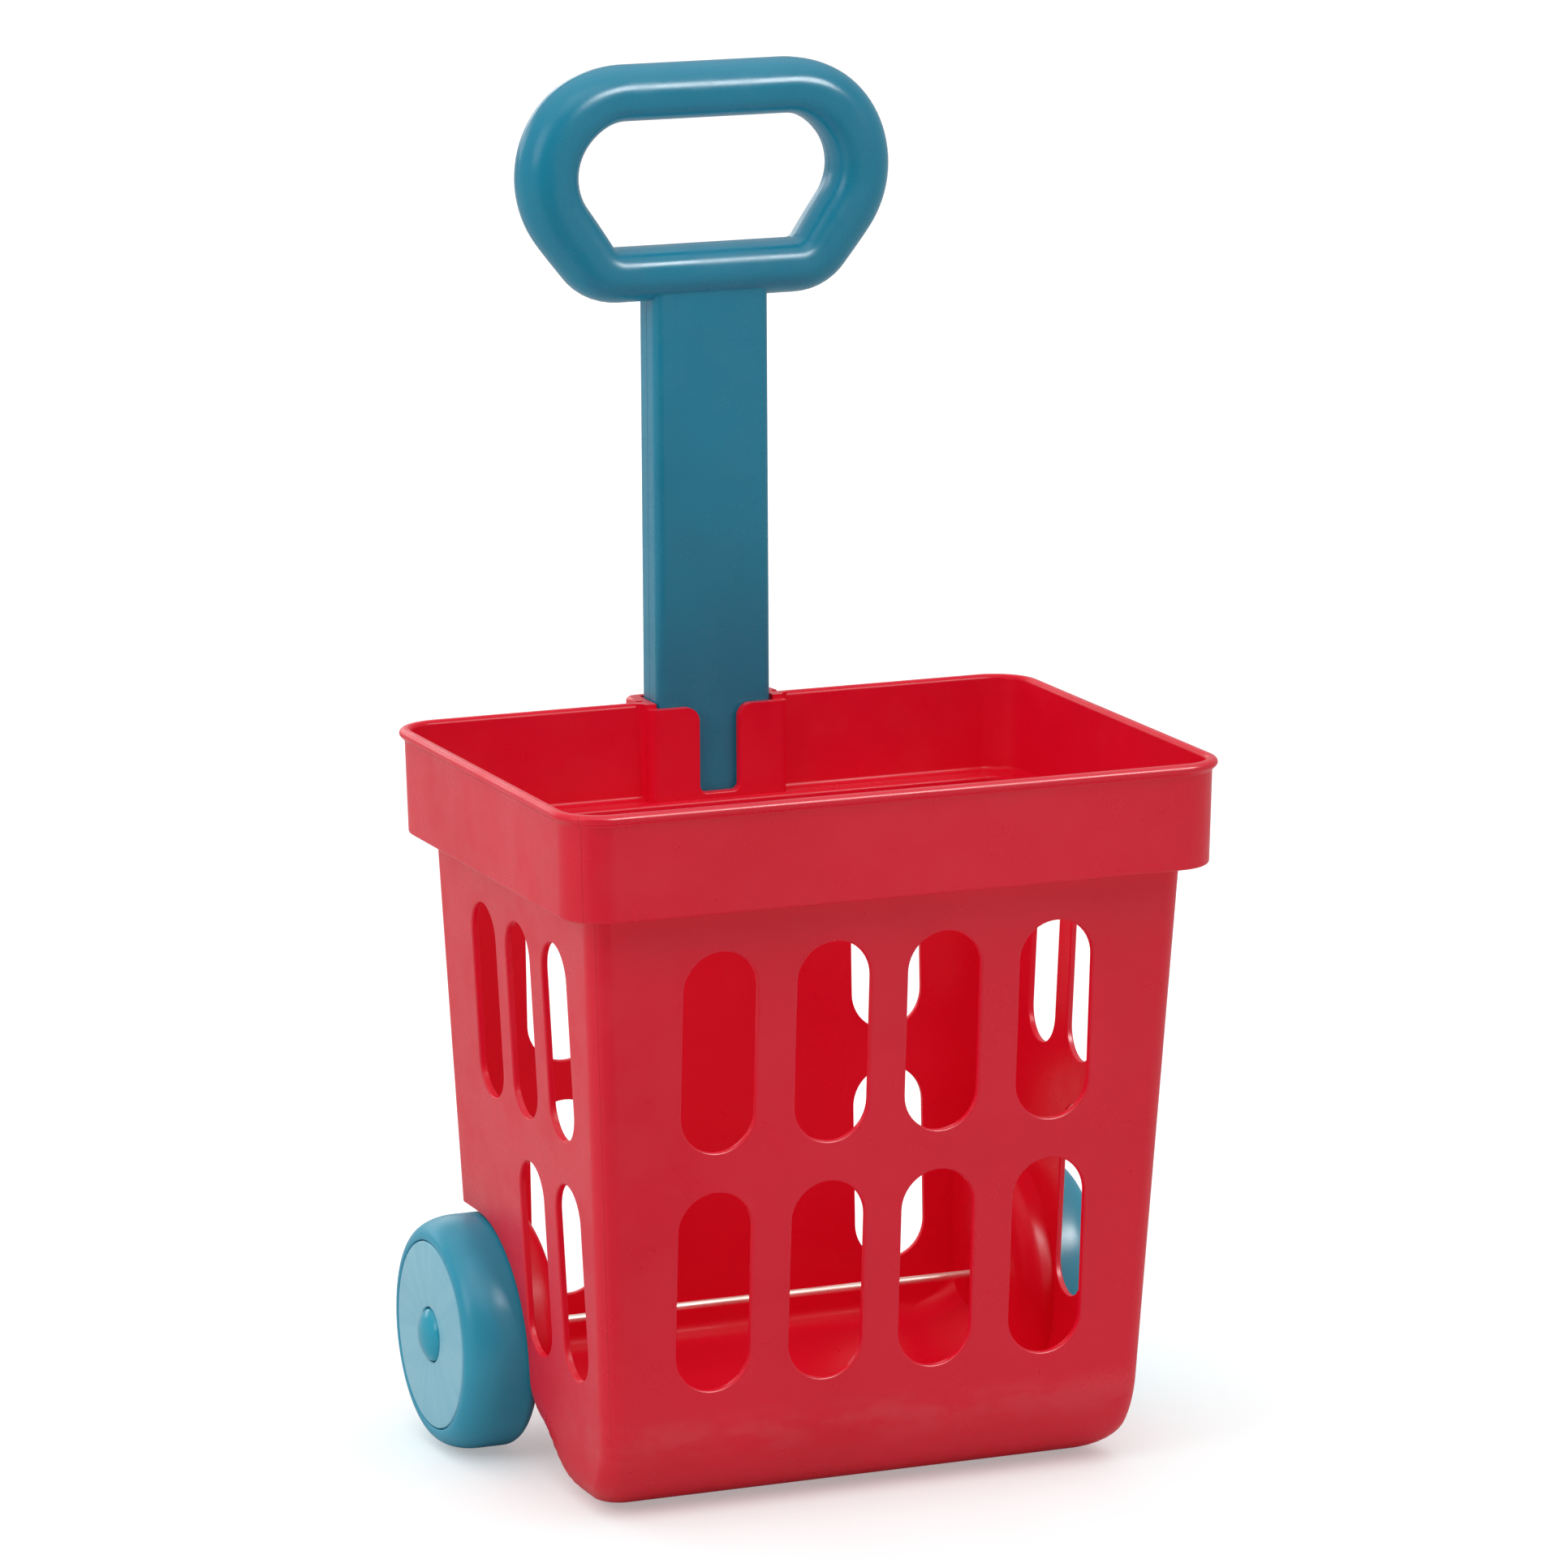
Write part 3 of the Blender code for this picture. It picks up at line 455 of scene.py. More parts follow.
def red_extra(nt, bs, col, nrm):
    """Mould parting lines down the four corners, and a lower front lightened in blotches: scuff wear and painted sheen.
    """
    x, y, z = xyz(nt)
    ax = math_n(nt, "ABSOLUTE", x)
    zz = math_n(nt, "MULTIPLY", z, BODY_FS - BODY_XS)
    g = math_n(nt, "ADD", math_n(nt, "ADD", ax, y), -(BODY_X0 - BODY_F0) * MM)
    g = math_n(nt, "ABSOLUTE", math_n(nt, "ADD", g, zz))
    line = ramp(nt, g, 0.0, 0.00045, 1.0, 0.0)
    below = ramp(nt, z, STEP_Z * MM - 0.0005, STEP_Z * MM + 0.0005, 1.0, 0.0)
    front = ramp(nt, y, -0.03, -0.02, 1.0, 0.0)
    above = ramp(nt, z, 0.024, 0.03, 0.0, 1.0)
    line = math_n(nt, "MULTIPLY", math_n(nt, "MULTIPLY", line, below), math_n(nt, "MULTIPLY", front, above))
    g2 = math_n(nt, "ABSOLUTE", math_n(nt, "ADD", math_n(nt, "ADD", ax, y), -(BAND_X - BAND_Y) * MM))
    line2 = math_n(nt, "MULTIPLY", ramp(nt, g2, 0.0, 0.0004, 1.0, 0.0),
                   math_n(nt, "MULTIPLY", math_n(nt, "SUBTRACT", 1.0, below), front))
    nrm = bump(nt, math_n(nt, "MAXIMUM", line, line2), 0.5, 0.00018, nrm)
    col = mix_col(nt, math_n(nt, "MULTIPLY", math_n(nt, "MAXIMUM", line, line2), 0.35), col, (0.50, 0.003, 0.014))
    # lower front band lightened in blotches: scuff wear and a painted sheen
    strip = math_n(nt, "MULTIPLY", ramp(nt, z, 0.016, 0.028, 0.0, 1.0), ramp(nt, z, 0.030, 0.042, 1.0, 0.0))
    strip = math_n(nt, "MULTIPLY", strip, ramp(nt, y, -0.05, -0.04, 1.0, 0.0))
    blot = ramp(nt, noise(nt, 1.0, 4.0, 0.62, mapping(nt, (38, 38, 90), (0.0, 0.05, 0.0))), 0.36, 0.66)
    scuff_and_sheen = math_n(nt, "MULTIPLY", math_n(nt, "MULTIPLY", strip, blot), 0.14)
    col = mix_col(nt, scuff_and_sheen, col, (0.86, 0.20, 0.22))
    # the inside faces are duller; a faint red glow over the whole moulding, stronger on the inside faces, is painted
    # light that lifts its shaded parts
    ns = N(nt, "ShaderNodeSeparateXYZ")
    nt.links.new(N(nt, "ShaderNodeNewGeometry").outputs["Normal"], ns.inputs[0])
    out = math_n(nt, "ADD", math_n(nt, "MULTIPLY", ns.outputs[0], x), math_n(nt, "MULTIPLY", ns.outputs[1], y))
    far = math_n(nt, "SQRT", math_n(nt, "ADD", math_n(nt, "MULTIPLY", x, x), math_n(nt, "MULTIPLY", y, y)))
    out = math_n(nt, "DIVIDE", out, math_n(nt, "MAXIMUM", far, 0.01))
    inside = ramp(nt, out, -0.22, -0.02, 1.0, 0.0)
    nt.links.new(math_n(nt, "ADD", math_n(nt, "MULTIPLY", inside, -0.30), 0.44), bs.inputs["Specular IOR Level"])
    # painted glow: red emission on the moulding, which is no lamp, brighter on the inside faces
    bs.inputs["Emission Color"].default_value = (1.0, 0.004, 0.022, 1.0)
    nt.links.new(math_n(nt, "ADD", math_n(nt, "MULTIPLY", inside, 0.025), 0.030), bs.inputs["Emission Strength"])
    return col, nrm


RED = plastic("red_moulding", (0.795, 0.0046, 0.0290), (0.745, 0.0038, 0.0240), 0.32, 0.44, 0.12, 0.0, red_extra, (0.85, 0.10, 0.11))
# the painted glow is kept out of light sampling
RED.cycles.emission_sampling = "NONE"
TEAL = plastic("teal_handle", (0.009, 0.275, 0.430), (0.008, 0.245, 0.385), 0.26, 0.42, 0.06, 0.0, None, (0.10, 0.40, 0.52))
TREAD = plastic("teal_tread", (0.024, 0.370, 0.540), (0.020, 0.320, 0.480), 0.34, 0.50, 0.35)
CAPM = plastic("teal_cap", (0.022, 0.400, 0.560), (0.020, 0.370, 0.520), 0.16, 0.5, 0.15)
PLUG = plastic("teal_plug", (0.012, 0.200, 0.330), (0.010, 0.170, 0.290), 0.45, 0.4, 0.2)


def disc_extra(nt, bs, col, nrm):
    """Faint radial flow lines fanning out from the hub."""
    x, y, z = xyz(nt)
    dy = math_n(nt, "ADD", y, -AY * MM)
    dz = math_n(nt, "ADD", z, -AZ * MM)
    ang = math_n(nt, "ARCTAN2", dz, dy)
    rad = math_n(nt, "SQRT", math_n(nt, "ADD", math_n(nt, "MULTIPLY", dy, dy), math_n(nt, "MULTIPLY", dz, dz)))
    comb = N(nt, "ShaderNodeCombineXYZ")
    nt.links.new(math_n(nt, "MULTIPLY", ang, 1.6), comb.inputs[0])
    nt.links.new(math_n(nt, "MULTIPLY", rad, 6.0), comb.inputs[1])
    n = N(nt, "ShaderNodeTexNoise")
    n.inputs["Scale"].default_value = 3.2
    n.inputs["Detail"].default_value = 3.0
    nt.links.new(comb.outputs[0], n.inputs["Vector"])
    flow = ramp(nt, n.outputs["Fac"], 0.38, 0.62)
    col = mix_col(nt, math_n(nt, "MULTIPLY", flow, 0.16), col, (0.45, 0.74, 0.84))
    return col, nrm


DISC = plastic("teal_disc", (0.250, 0.600, 0.740), (0.230, 0.560, 0.700), 0.34, 0.42, 0.2, 0.0, disc_extra)


def metal(name, base, rough, grain=(30, 900, 900)):
    m, nt, bs = node_mat(name)
    g = noise(nt, 1.0, 3.0, 0.6, mapping(nt, grain))
    tint = mix_col(nt, ramp(nt, noise(nt, 60.0, 3.0), 0.3, 0.7), base, tuple(c * 0.85 for c in base))
    nt.links.new(tint, bs.inputs["Base Color"])
    nt.links.new(ramp(nt, g, 0.3, 0.7, rough - 0.06, rough + 0.1), bs.inputs["Roughness"])
    nt.links.new(bump(nt, g, 0.15, 0.00003), bs.inputs["Normal"])
    bs.inputs["Metallic"].default_value = 0.7
    return m


STEEL = metal("drawn_steel", (0.95, 0.90, 0.80), 0.42)
ZINC = metal("zinc_plate", (0.66, 0.66, 0.68), 0.34, (300, 300, 300))

# ---------------------------------------------------------------- basket
def heights(off):
    return [(FOOT_SIDE_REAR - off) * (1 - math.cos(math.radians(5.0 * i))) for i in range(18)] + [70.0, 110.0, 150.0]


outer = [body_ring(h, 0.0, 0.0) for h in heights(0.0)] + [body_ring(STEP_Z - 1.6, 0.0, 0.0)]
for i in range(1, 5):                                  # fillet under the step
    a = math.radians(22.5 * i)
    outer.append(between(STEP_Z - 1.6 + 1.6 * math.sin(a), 1.6 * (1 - math.cos(a)), 1.6 * (1 - math.cos(a))))
for i in range(0, 5):                                  # lower edge of the band
    a = math.radians(22.5 * i)
    outer.append(ring(BAND_X - 1.2 * (1 - math.sin(a)), BAND_Y - 1.2 * (1 - math.sin(a)),
                      BAND_Y - 1.2 * (1 - math.sin(a)), STEP_Z + 1.2 * (1 - math.cos(a)), BAND_R - 1.2 * (1 - math.sin(a))))
for i in range(0, 11):                                 # the bead swells gently out of the band
    t = i / 10.0
    outer.append(band_ring(BEAD_Z + 0.3 + 2.8 * t, 0.0, BEAD_OUT * (0.5 - 0.5 * math.cos(math.pi * t))))
for i in range(0, 7):                                  # and rolls over at the top
    a = math.radians(15 * i)
    outer.append(band_ring(BEAD_Z + 3.1 + 1.9 * math.sin(a), 0.0, BEAD_OUT - 1.9 + 1.9 * math.cos(a)))
outer.append(band_ring(RIM_Z, 0.0, BEAD_OUT - 1.9))
basket = put("basket_shell", loft("basket_shell", outer), RED)

inner = [body_ring(h, WALL, FLOOR_T) for h in heights(WALL)] + [body_ring(STEP_Z - 1.4 - FLOOR_T + WALL, WALL, FLOOR_T)]
for i in range(1, 5):                                  # rounded inner lip of the ledge
    a = math.radians(22.5 * i)
    inner.append(between(STEP_Z + WALL - 1.4 + 1.4 * math.sin(a), -WALL + 1.4 * (1 - math.cos(a)),
                         -WALL + 1.4 * (1 - math.cos(a))))
for i in range(0, 5):                                  # hollow between ledge and band
    a = math.radians(22.5 * i)
    e = 1.8 * (1 - math.sin(a))
    inner.append(ring(BAND_X - WALL - e, BAND_Y - WALL - e, BAND_Y - WALL - e,
                      STEP_Z + WALL + 0.05 + 1.8 * (1 - math.cos(a)), BAND_R - WALL - e))
inner.append(band_ring(RIM_Z - 1.6, WALL))
for i in range(1, 5):
    a = math.radians(20 * i)
    inner.append(band_ring(RIM_Z - 1.6 + 1.6 * math.sin(a), WALL - 1.6 * (1 - math.cos(a))))
inner.append(band_ring(RIM_Z + 0.4, WALL - 1.9))
inner.append(band_ring(RIM_Z + 6.0, WALL - 1.9))
cavity = put("cavity", loft("cavity", inner), None, work)


for side, tag in ((-1, "l"), (1, "r")):
    xin = WELL_X - WALL
    x0, x1 = (-150.0, -xin) if side < 0 else (xin, 150.0)
    boolean(cavity, prism_x("hump_" + tag, well_outline(WELL_R + WALL), x0, x1, 8.0, "hi" if side < 0 else "lo"))

slide_frame = (Matrix.Translation(Vector((0, CH_MID, RIM_Z)) * MM)
               @ Matrix.Rotation(-LEAN, 4, "X"))


def leaned(ob):
    ob.data.transform(slide_frame)
    return ob


def prism_z(name, outline, z0, z1, top_bevel=0.0, segs=4):
    bm = bmesh.new()
    a = [bm.verts.new((x * MM, y * MM, z0 * MM)) for x, y in outline]
    b = [bm.verts.new((x * MM, y * MM, z1 * MM)) for x, y in outline]
    n = len(outline)
    bm.faces.new(list(reversed(a)))
    top = bm.faces.new(b)
    for i in range(n):
        j = (i + 1) % n
        bm.faces.new((a[i], a[j], b[j], b[i]))
    bmesh.ops.recalc_face_normals(bm, faces=bm.faces)
    if top_bevel:
        bmesh.ops.bevel(bm, geom=list(top.edges), offset=top_bevel * MM, segments=segs, profile=0.5, affect="EDGES")
    return from_bm(name, bm, work)


# the plate and its S-shaped shoulders, running out of the band's inner wall
S_C, S_W = 27.1, 2.9
y_front, y_wall = -HALF - PLATE_T, -5.1
left = []
for i in range(9):                                     # hollow where it leaves the wall
    a = math.pi / 2 * i / 8
    left.append((-S_C - S_W + S_W * math.sin(a), y_wall - S_W * (1 - math.cos(a))))
for i in range(9):                                     # round where it meets the plate
    a = math.pi / 2 * i / 8
    left.append((-S_C + S_W * (1 - math.cos(a)), y_front + S_W * (1 - math.sin(a))))
right = [(-x, y) for x, y in reversed(left)]
plate_outline = [(-S_C - S_W, 10.0)] + left + right + [(S_C + S_W, 10.0)]
keep = leaned(prism_z("plate_keep", plate_outline, STEP_Z + WALL - 2.0 - RIM_Z, 12.0))
boolean(cavity, keep)
boolean(basket, cavity)


def wall_y(z, back):
    """A line the given distance inside the back wall's outer face, in the channel's frame."""
    return BODY_K0 + BODY_KS * z - back - CH_MID


def yz_bm(outline, x0, x1):
    bm = bmesh.new()
    a = [bm.verts.new((x0 * MM, y * MM, z * MM)) for y, z in outline]
    b = [bm.verts.new((x1 * MM, y * MM, z * MM)) for y, z in outline]
    bm.faces.new(a)
    bm.faces.new(list(reversed(b)))
    for i in range(len(outline)):
        j = (i + 1) % len(outline)
        bm.faces.new((a[j], a[i], b[i], b[j]))
    bmesh.ops.recalc_face_normals(bm, faces=bm.faces)
    return bm


LOW = CH_BOTTOM - RIM_Z
tube = yz_bm([(wall_y(CH_BOTTOM, 1.3), LOW), (HALF + WALL, LOW), (HALF + WALL, 0.0), (-HALF - 1.6, 0.0),
              (-HALF - 1.6, STEP_Z + 1.0 - RIM_Z), (wall_y(STEP_Z - 1.0, 1.3), STEP_Z - 1.0 - RIM_Z)], -CH_X, CH_X)
bevel_where(tube, lambda e: abs(e.verts[0].co.z - e.verts[1].co.z) > 0.1 and e.verts[0].co.y > 0, 3.0, 6)
bevel_where(tube, lambda e: abs(e.verts[0].co.z - e.verts[1].co.z) < 1e-6 and e.verts[0].co.z < -0.1
            and e.calc_length() > 0.001, 1.0, 3)
boolean(basket, leaned(tool("channel_outer", tube)), "UNION")
lip = box_bm(-28.0, 28.0, 0.0, HALF + WALL + 1.5, BEAD_Z - RIM_Z, 0.0)
bevel_where(lip, lambda e: abs(e.verts[0].co.z - e.verts[1].co.z) > 0.001 and e.verts[0].co.y > 0.005, 4.5, 6)
bevel_where(lip, lambda e: abs(e.verts[0].co.z - e.verts[1].co.z) < 1e-6 and e.verts[0].co.y > 1e-5
            and e.verts[1].co.y > -1e-6, 1.7, 4)
boolean(basket, leaned(tool("channel_lip", lip)), "UNION")
bore = box_bm(-CH_BORE_X, CH_BORE_X, -HALF, HALF, CH_BOTTOM + WALL - RIM_Z, 20.0)
bevel_where(bore, lambda e: abs(e.verts[0].co.z - e.verts[1].co.z) > 0.1, 1.2, 3)
boolean(basket, leaned(tool("channel_bore", bore)))
# below the step the bore opens forward to the back wall, leaving two guide ribs
for k, (x0, x1) in enumerate(((-CH_BORE_X + 1.2, -RIB_X[1]), (-RIB_X[0], RIB_X[0]), (RIB_X[1], CH_BORE_X - 1.2))):
    pocket = yz_bm([(wall_y(CH_BOTTOM + WALL, 0.0), CH_BOTTOM + WALL - RIM_Z), (-HALF + 1.0, CH_BOTTOM + WALL - RIM_Z),
                    (-HALF + 1.0, STEP_Z - 4.0 - RIM_Z), (wall_y(STEP_Z - 4.0, 0.0), STEP_Z - 4.0 - RIM_Z)], x0, x1)
    boolean(basket, leaned(tool("channel_pocket_%d" % k, pocket)))
trim = box_bm(-S_C - S_W - 0.3, S_C + S_W + 0.3, -HALF - PLATE_T - 2.0, -HALF + 1.5, PLATE_TOP - RIM_Z, 10.0)
boolean(basket, leaned(tool("plate_trim", trim)))


def notch_outline(g):
    """Flared top corners, rounded lower corners, grown by g; (x, z) with z from the rim."""
    top = PLATE_TOP - RIM_Z
    bot = NOTCH_Z - RIM_Z - g
    h = NOTCH_HALF + g
    rt, rb = 5.2 - g, 2.6 + g
    pts = [(h + rt, top + 8.0), (h + rt, top + 0.05)]
    pts += [(h + rt - rt * math.sin(math.radians(a)), top - rt * (1 - math.cos(math.radians(a))))
            for a in range(9, 91, 9)]
    pts += [(h - rb * (1 - math.cos(math.radians(a))), bot + rb - rb * math.sin(math.radians(a)))
            for a in range(0, 91, 10)]
    return pts + [(-x, z) for x, z in reversed(pts)]


nv, nf = [], []
slot_mesh(nv, nf, [(d, notch_outline(w)) for d, w in edge_rings(PLATE_T, 0.9, 0.5)],
          lambda u, z, d: (u, -HALF - PLATE_T + d, z), False)
notch = tool("notch", mesh_from("notch", nv, nf))
bm = bmesh.new()
bm.from_mesh(notch.data)
bmesh.ops.recalc_face_normals(bm, faces=bm.faces)
bm.to_mesh(notch.data)
bm.free()
boolean(basket, leaned(notch))

for side, tag in ((-1, "l"), (1, "r")):
    x0, x1 = (-150.0, -WELL_X) if side < 0 else (WELL_X, 150.0)
    boolean(basket, prism_x("well_" + tag, well_outline(WELL_R), x0, x1, 2.0, "hi" if side < 0 else "lo"))
    x0, x1 = sorted((side * (WELL_X - WALL - 1.2), side * BOSS_X))
    bm = bmesh.new()
    bmesh.ops.create_cone(bm, cap_ends=True, segments=40, radius1=BOSS_R * MM, radius2=BOSS_R * MM, depth=(x1 - x0) * MM)
    bmesh.ops.bevel(bm, geom=[e for e in bm.edges if abs(e.verts[0].co.z - e.verts[1].co.z) < 1e-7],
                    offset=0.5 * MM, segments=2, profile=0.5, affect="EDGES")
    bmesh.ops.transform(bm, verts=bm.verts, matrix=Matrix.Translation(Vector(((x0 + x1) / 2, AY, AZ)) * MM)
                        @ Matrix.Rotation(math.pi / 2, 4, "Y"))
    boolean(basket, tool("boss_" + tag, bm), "UNION")
bm = bmesh.new()
bmesh.ops.create_cone(bm, cap_ends=True, segments=32, radius1=(ROD_R + 0.35) * MM, radius2=(ROD_R + 0.35) * MM, depth=220 * MM)
bmesh.ops.transform(bm, verts=bm.verts, matrix=Matrix.Translation(Vector((0, AY, AZ)) * MM) @ Matrix.Rotation(math.pi / 2, 4, "Y"))
boolean(basket, tool("rod_hole", bm))

sv, sf = [], []
for z0, z1 in (ROW_UP, ROW_LOW):
    rr = slot_rings(SLOT_HALF, z0, z1, WALL)
    for sx in (-1, 1):
        for x in SLOT_X:
            slot_mesh(sv, sf, rr, lambda u, z, d, c=sx * x: (c + u, -(BODY_F0 + BODY_FS * z) + d, z), False)
        c = sx * 64.5
        slot_mesh(sv, sf, rr, lambda u, z, d, c=c: (c + u, BODY_K0 + BODY_KS * z - d, z), True)
        rs = slot_rings(SIDE_HALF, z0 + 1.0, z1 - 0.5, WALL)
        for k, y in enumerate(SIDE_Y):
            if z1 < ROW_UP[0] and k == 2:
                continue
            slot_mesh(sv, sf, rs, lambda u, z, d, c=y, s=sx: (s * (BODY_X0 + BODY_XS * z - d), c + u, z), sx < 0)
slots = tool("slots", mesh_from("slots", sv, sf))
bm = bmesh.new()
bm.from_mesh(slots.data)
bmesh.ops.recalc_face_normals(bm, faces=bm.faces)
bm.to_mesh(slots.data)
bm.free()
boolean(basket, slots)
settle(basket)


def finish_mesh(ob, angle=32.0, weighted=True):
    me = ob.data
    for p in me.polygons:
        p.use_smooth = True
    me.set_sharp_from_angle(angle=math.radians(angle))
    if weighted:
        w = ob.modifiers.new("wn", "WEIGHTED_NORMAL")
        w.keep_sharp = True
        w.weight = 80


finish_mesh(basket, 28.0)
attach(basket, "basket")
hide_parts("basket")

# ---------------------------------------------------------------- handle
GRIP_ARC_X, GRIP_ARC_Z, GRIP_ARC_R = 31.2, 458.8, 29.8
GRIP_LOW_Z, GRIP_LOW_R = 422.2, 14.0


def grip_path(step=2.0):
    """The grip's centre line from the lower middle round the right side to the top, evenly spaced."""
    turn = math.radians(54)
    end = math.radians(-36)
    sx = GRIP_ARC_X + GRIP_ARC_R * math.cos(end)
    sz = GRIP_ARC_Z + GRIP_ARC_R * math.sin(end)
    d = (-math.cos(turn), -math.sin(turn))
    drop = sz - GRIP_LOW_Z - GRIP_LOW_R * (1 - math.cos(turn))
    run = drop / -d[1]
    ax_, az_ = sx + d[0] * run, sz + d[1] * run
    cx, cz = ax_ - GRIP_LOW_R * math.sin(turn), GRIP_LOW_Z + GRIP_LOW_R
    pts = [(0.0, GRIP_LOW_Z), (cx, GRIP_LOW_Z)]
    pts += [(cx + GRIP_LOW_R * math.cos(-math.pi / 2 + turn * i / 16), cz + GRIP_LOW_R * math.sin(-math.pi / 2 + turn * i / 16))
            for i in range(1, 17)]
    pts += [(GRIP_ARC_X + GRIP_ARC_R * math.cos(end + (math.pi / 2 - end) * i / 48),
             GRIP_ARC_Z + GRIP_ARC_R * math.sin(end + (math.pi / 2 - end) * i / 48)) for i in range(0, 49)]
    pts.append((0.0, GRIP_ARC_Z + GRIP_ARC_R))
    # resample
    lens = [0.0]
    for p, q in zip(pts, pts[1:]):
        lens.append(lens[-1] + math.hypot(q[0] - p[0], q[1] - p[1]))
    n = int(lens[-1] / step)
    outp, k = [], 0
    for i in range(n + 1):
        s = lens[-1] * i / n
        while k < len(lens) - 2 and lens[k + 1] < s:
            k += 1
        t = (s - lens[k]) / max(1e-9, lens[k + 1] - lens[k])
        outp.append((pts[k][0] + (pts[k + 1][0] - pts[k][0]) * t, pts[k][1] + (pts[k + 1][1] - pts[k][1]) * t))
    return outp


def sgnpow(v, p):
    return math.copysign(abs(v) ** p, v)


def grip_mesh(name, shrink=0.0, m=40):
    half = grip_path()
    path = half + [(-x, z) for x, z in reversed(half[1:-1])]
    n = len(path)
    cx, cz = 0.0, 452.0
    verts, faces = [], []
    for i, (x, z) in enumerate(path):
        p, q = path[(i - 1) % n], path[(i + 1) % n]
        tx, tz = q[0] - p[0], q[1] - p[1]
        L = math.hypot(tx, tz)
        nx, nz = tz / L, -tx / L                       # points out of the ring
        side = min(1.0, max(0.0, (abs(x) - 34.0) / 22.0))
        side = side * side * (3 - 2 * side)
        run = 10.25 if z > 450.0 else 10.0
        a_out = run + (11.45 - run) * side - shrink
        a_in = run + (11.2 - run) * side - shrink
        bdep = 12.0 - shrink
        for j in range(m):
            t = 2 * math.pi * j / m
            c, s = math.cos(t), math.sin(t)
            if c >= 0:
                pn, pd = a_out * sgnpow(c, 2 / 2.05), bdep * sgnpow(s, 2 / 2.05)
            else:
                pn, pd = a_in * sgnpow(c, 2 / 3.0), bdep * sgnpow(s, 2 / 2.3)
            verts.append((x + nx * pn, pd, z - RIM_Z + nz * pn))
    for i in range(n):
        k = (i + 1) % n
        for j in range(m):
            l = (j + 1) % m
            faces.append((i * m + j, k * m + j, k * m + l, i * m + l))
    me = mesh_from(name, verts, faces)
    bm = bmesh.new()
    bm.from_mesh(me)
    bmesh.ops.recalc_face_normals(bm, faces=bm.faces)
    bm.to_mesh(me)
    bm.free()
    return me


def bar_bm(shrink, z0, z1, bevel, segs=6):
    bm = box_bm(-BAR_X + shrink, BAR_X - shrink, -BAR_T / 2 + shrink, BAR_T / 2 - shrink, z0 - RIM_Z, z1 - RIM_Z)
    return bevel_where(bm, lambda e: abs(e.verts[0].co.z - e.verts[1].co.z) > 0.05, bevel, segs)


SCREWS = (("lower", 0.0, 235.0), ("middle", 0.0, 392.0), ("left", -61.0, 457.6), ("right", 61.0, 457.6))
inner_bar = tool("bar_inside", bar_bm(2.2, BAR_BOTTOM - 5.0, GRIP_LOW_Z, 1.6))
inner_grip = tool("grip_inside", grip_mesh("grip_inside", 2.2, 20))
for tag, sgn in (("front", -1), ("rear", 1)):
    ob = from_bm("handle_%s_skin" % tag, bar_bm(0.0, BAR_BOTTOM, GRIP_LOW_Z, 3.4))
    ob.data.materials.append(TEAL)
    boolean(ob, tool("grip_outer_" + tag, grip_mesh("grip_outer_" + tag)), "UNION")
    boolean(ob, inner_bar)
    boolean(ob, inner_grip)
    # each shell stops just short of the seam, leaving a fine gap that reads as a line
    o = 0.0
    y0, y1 = (-40.0, -0.12) if sgn < 0 else (0.12, 40.0)
    boolean(ob, tool("half_" + tag, box_bm(-120, 120, y0, y1, -120, 300)), "INTERSECT")
    if sgn > 0:
        for i, (nm, x, z) in enumerate(SCREWS):
            face = BAR_T / 2 if x == 0 else 12.0
            bm = bmesh.new()
            bmesh.ops.create_cone(bm, cap_ends=True, segments=36, radius1=3.1 * MM, radius2=3.1 * MM, depth=7.0 * MM)
            bmesh.ops.transform(bm, verts=bm.verts, matrix=Matrix.Translation(Vector((x, face + 0.6, z - RIM_Z)) * MM)
                                @ Matrix.Rotation(-math.pi / 2, 4, "X"))
            well_o = tool("head_%d" % i, bm)
            boolean(ob, well_o)
    settle(ob)
    finish_mesh(ob, 30.0)
    ob.data.transform(slide_frame)
    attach(ob, "handle")
    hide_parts("handle_%s_shell" % tag)

for name, mat in (("handle_end_plug", PLUG),) + tuple(("handle_screw_" + s[0], ZINC) for s in SCREWS):
    for s in frame["nodes"][name].material_slots:
        s.material = mat


# ---------------------------------------------------------------- wheels
def turned(name, prof, mat, side, segs, closed=True):
    """Profile of (radius, distance from the middle), turned about the axle."""
    verts, faces = [], []
    n = len(prof)
    idx = []
    for r, h in prof:
        row = []
        if r < 1e-6:
            verts.append((side * h, AY, AZ))
            row = [len(verts) - 1] * segs
        else:
            for k in range(segs):
                a = 2 * math.pi * k / segs
                verts.append((side * h, AY + r * math.cos(a), AZ + r * math.sin(a)))
                row.append(len(verts) - 1)
        idx.append(row)
    for i in range(n if closed else n - 1):
        a, b = idx[i], idx[(i + 1) % n]
        for k in range(segs):
            l = (k + 1) % segs
            f = []
            for v in (a[k], a[l], b[l], b[k]):
                if v not in f:
                    f.append(v)
            if len(f) > 2:
                faces.append(tuple(f))
    me = mesh_from(name, verts, faces)
    bm = bmesh.new()
    bm.from_mesh(me)
    bmesh.ops.recalc_face_normals(bm, faces=bm.faces)
    bm.to_mesh(me)
    bm.free()
    ob = put(name, me, mat)
    finish_mesh(ob, 32.0)
    return ob


def arc(cr, ch, r, a0, a1, n):
    """Points (radius, height) on a circle round (cr, ch), angles in degrees."""
    return [(cr + r * math.cos(math.radians(a0 + (a1 - a0) * i / n)), ch + r * math.sin(math.radians(a0 + (a1 - a0) * i / n)))
            for i in range(n + 1)]


def shoulder(r0, x0, r1, x1, n, p=1.0):
    return [(r0 + (r1 - r0) * math.sin(math.pi / 2 * i / n) ** p, x1 + (x0 - x1) * math.cos(math.pi / 2 * i / n) ** p)
            for i in range(n + 1)]


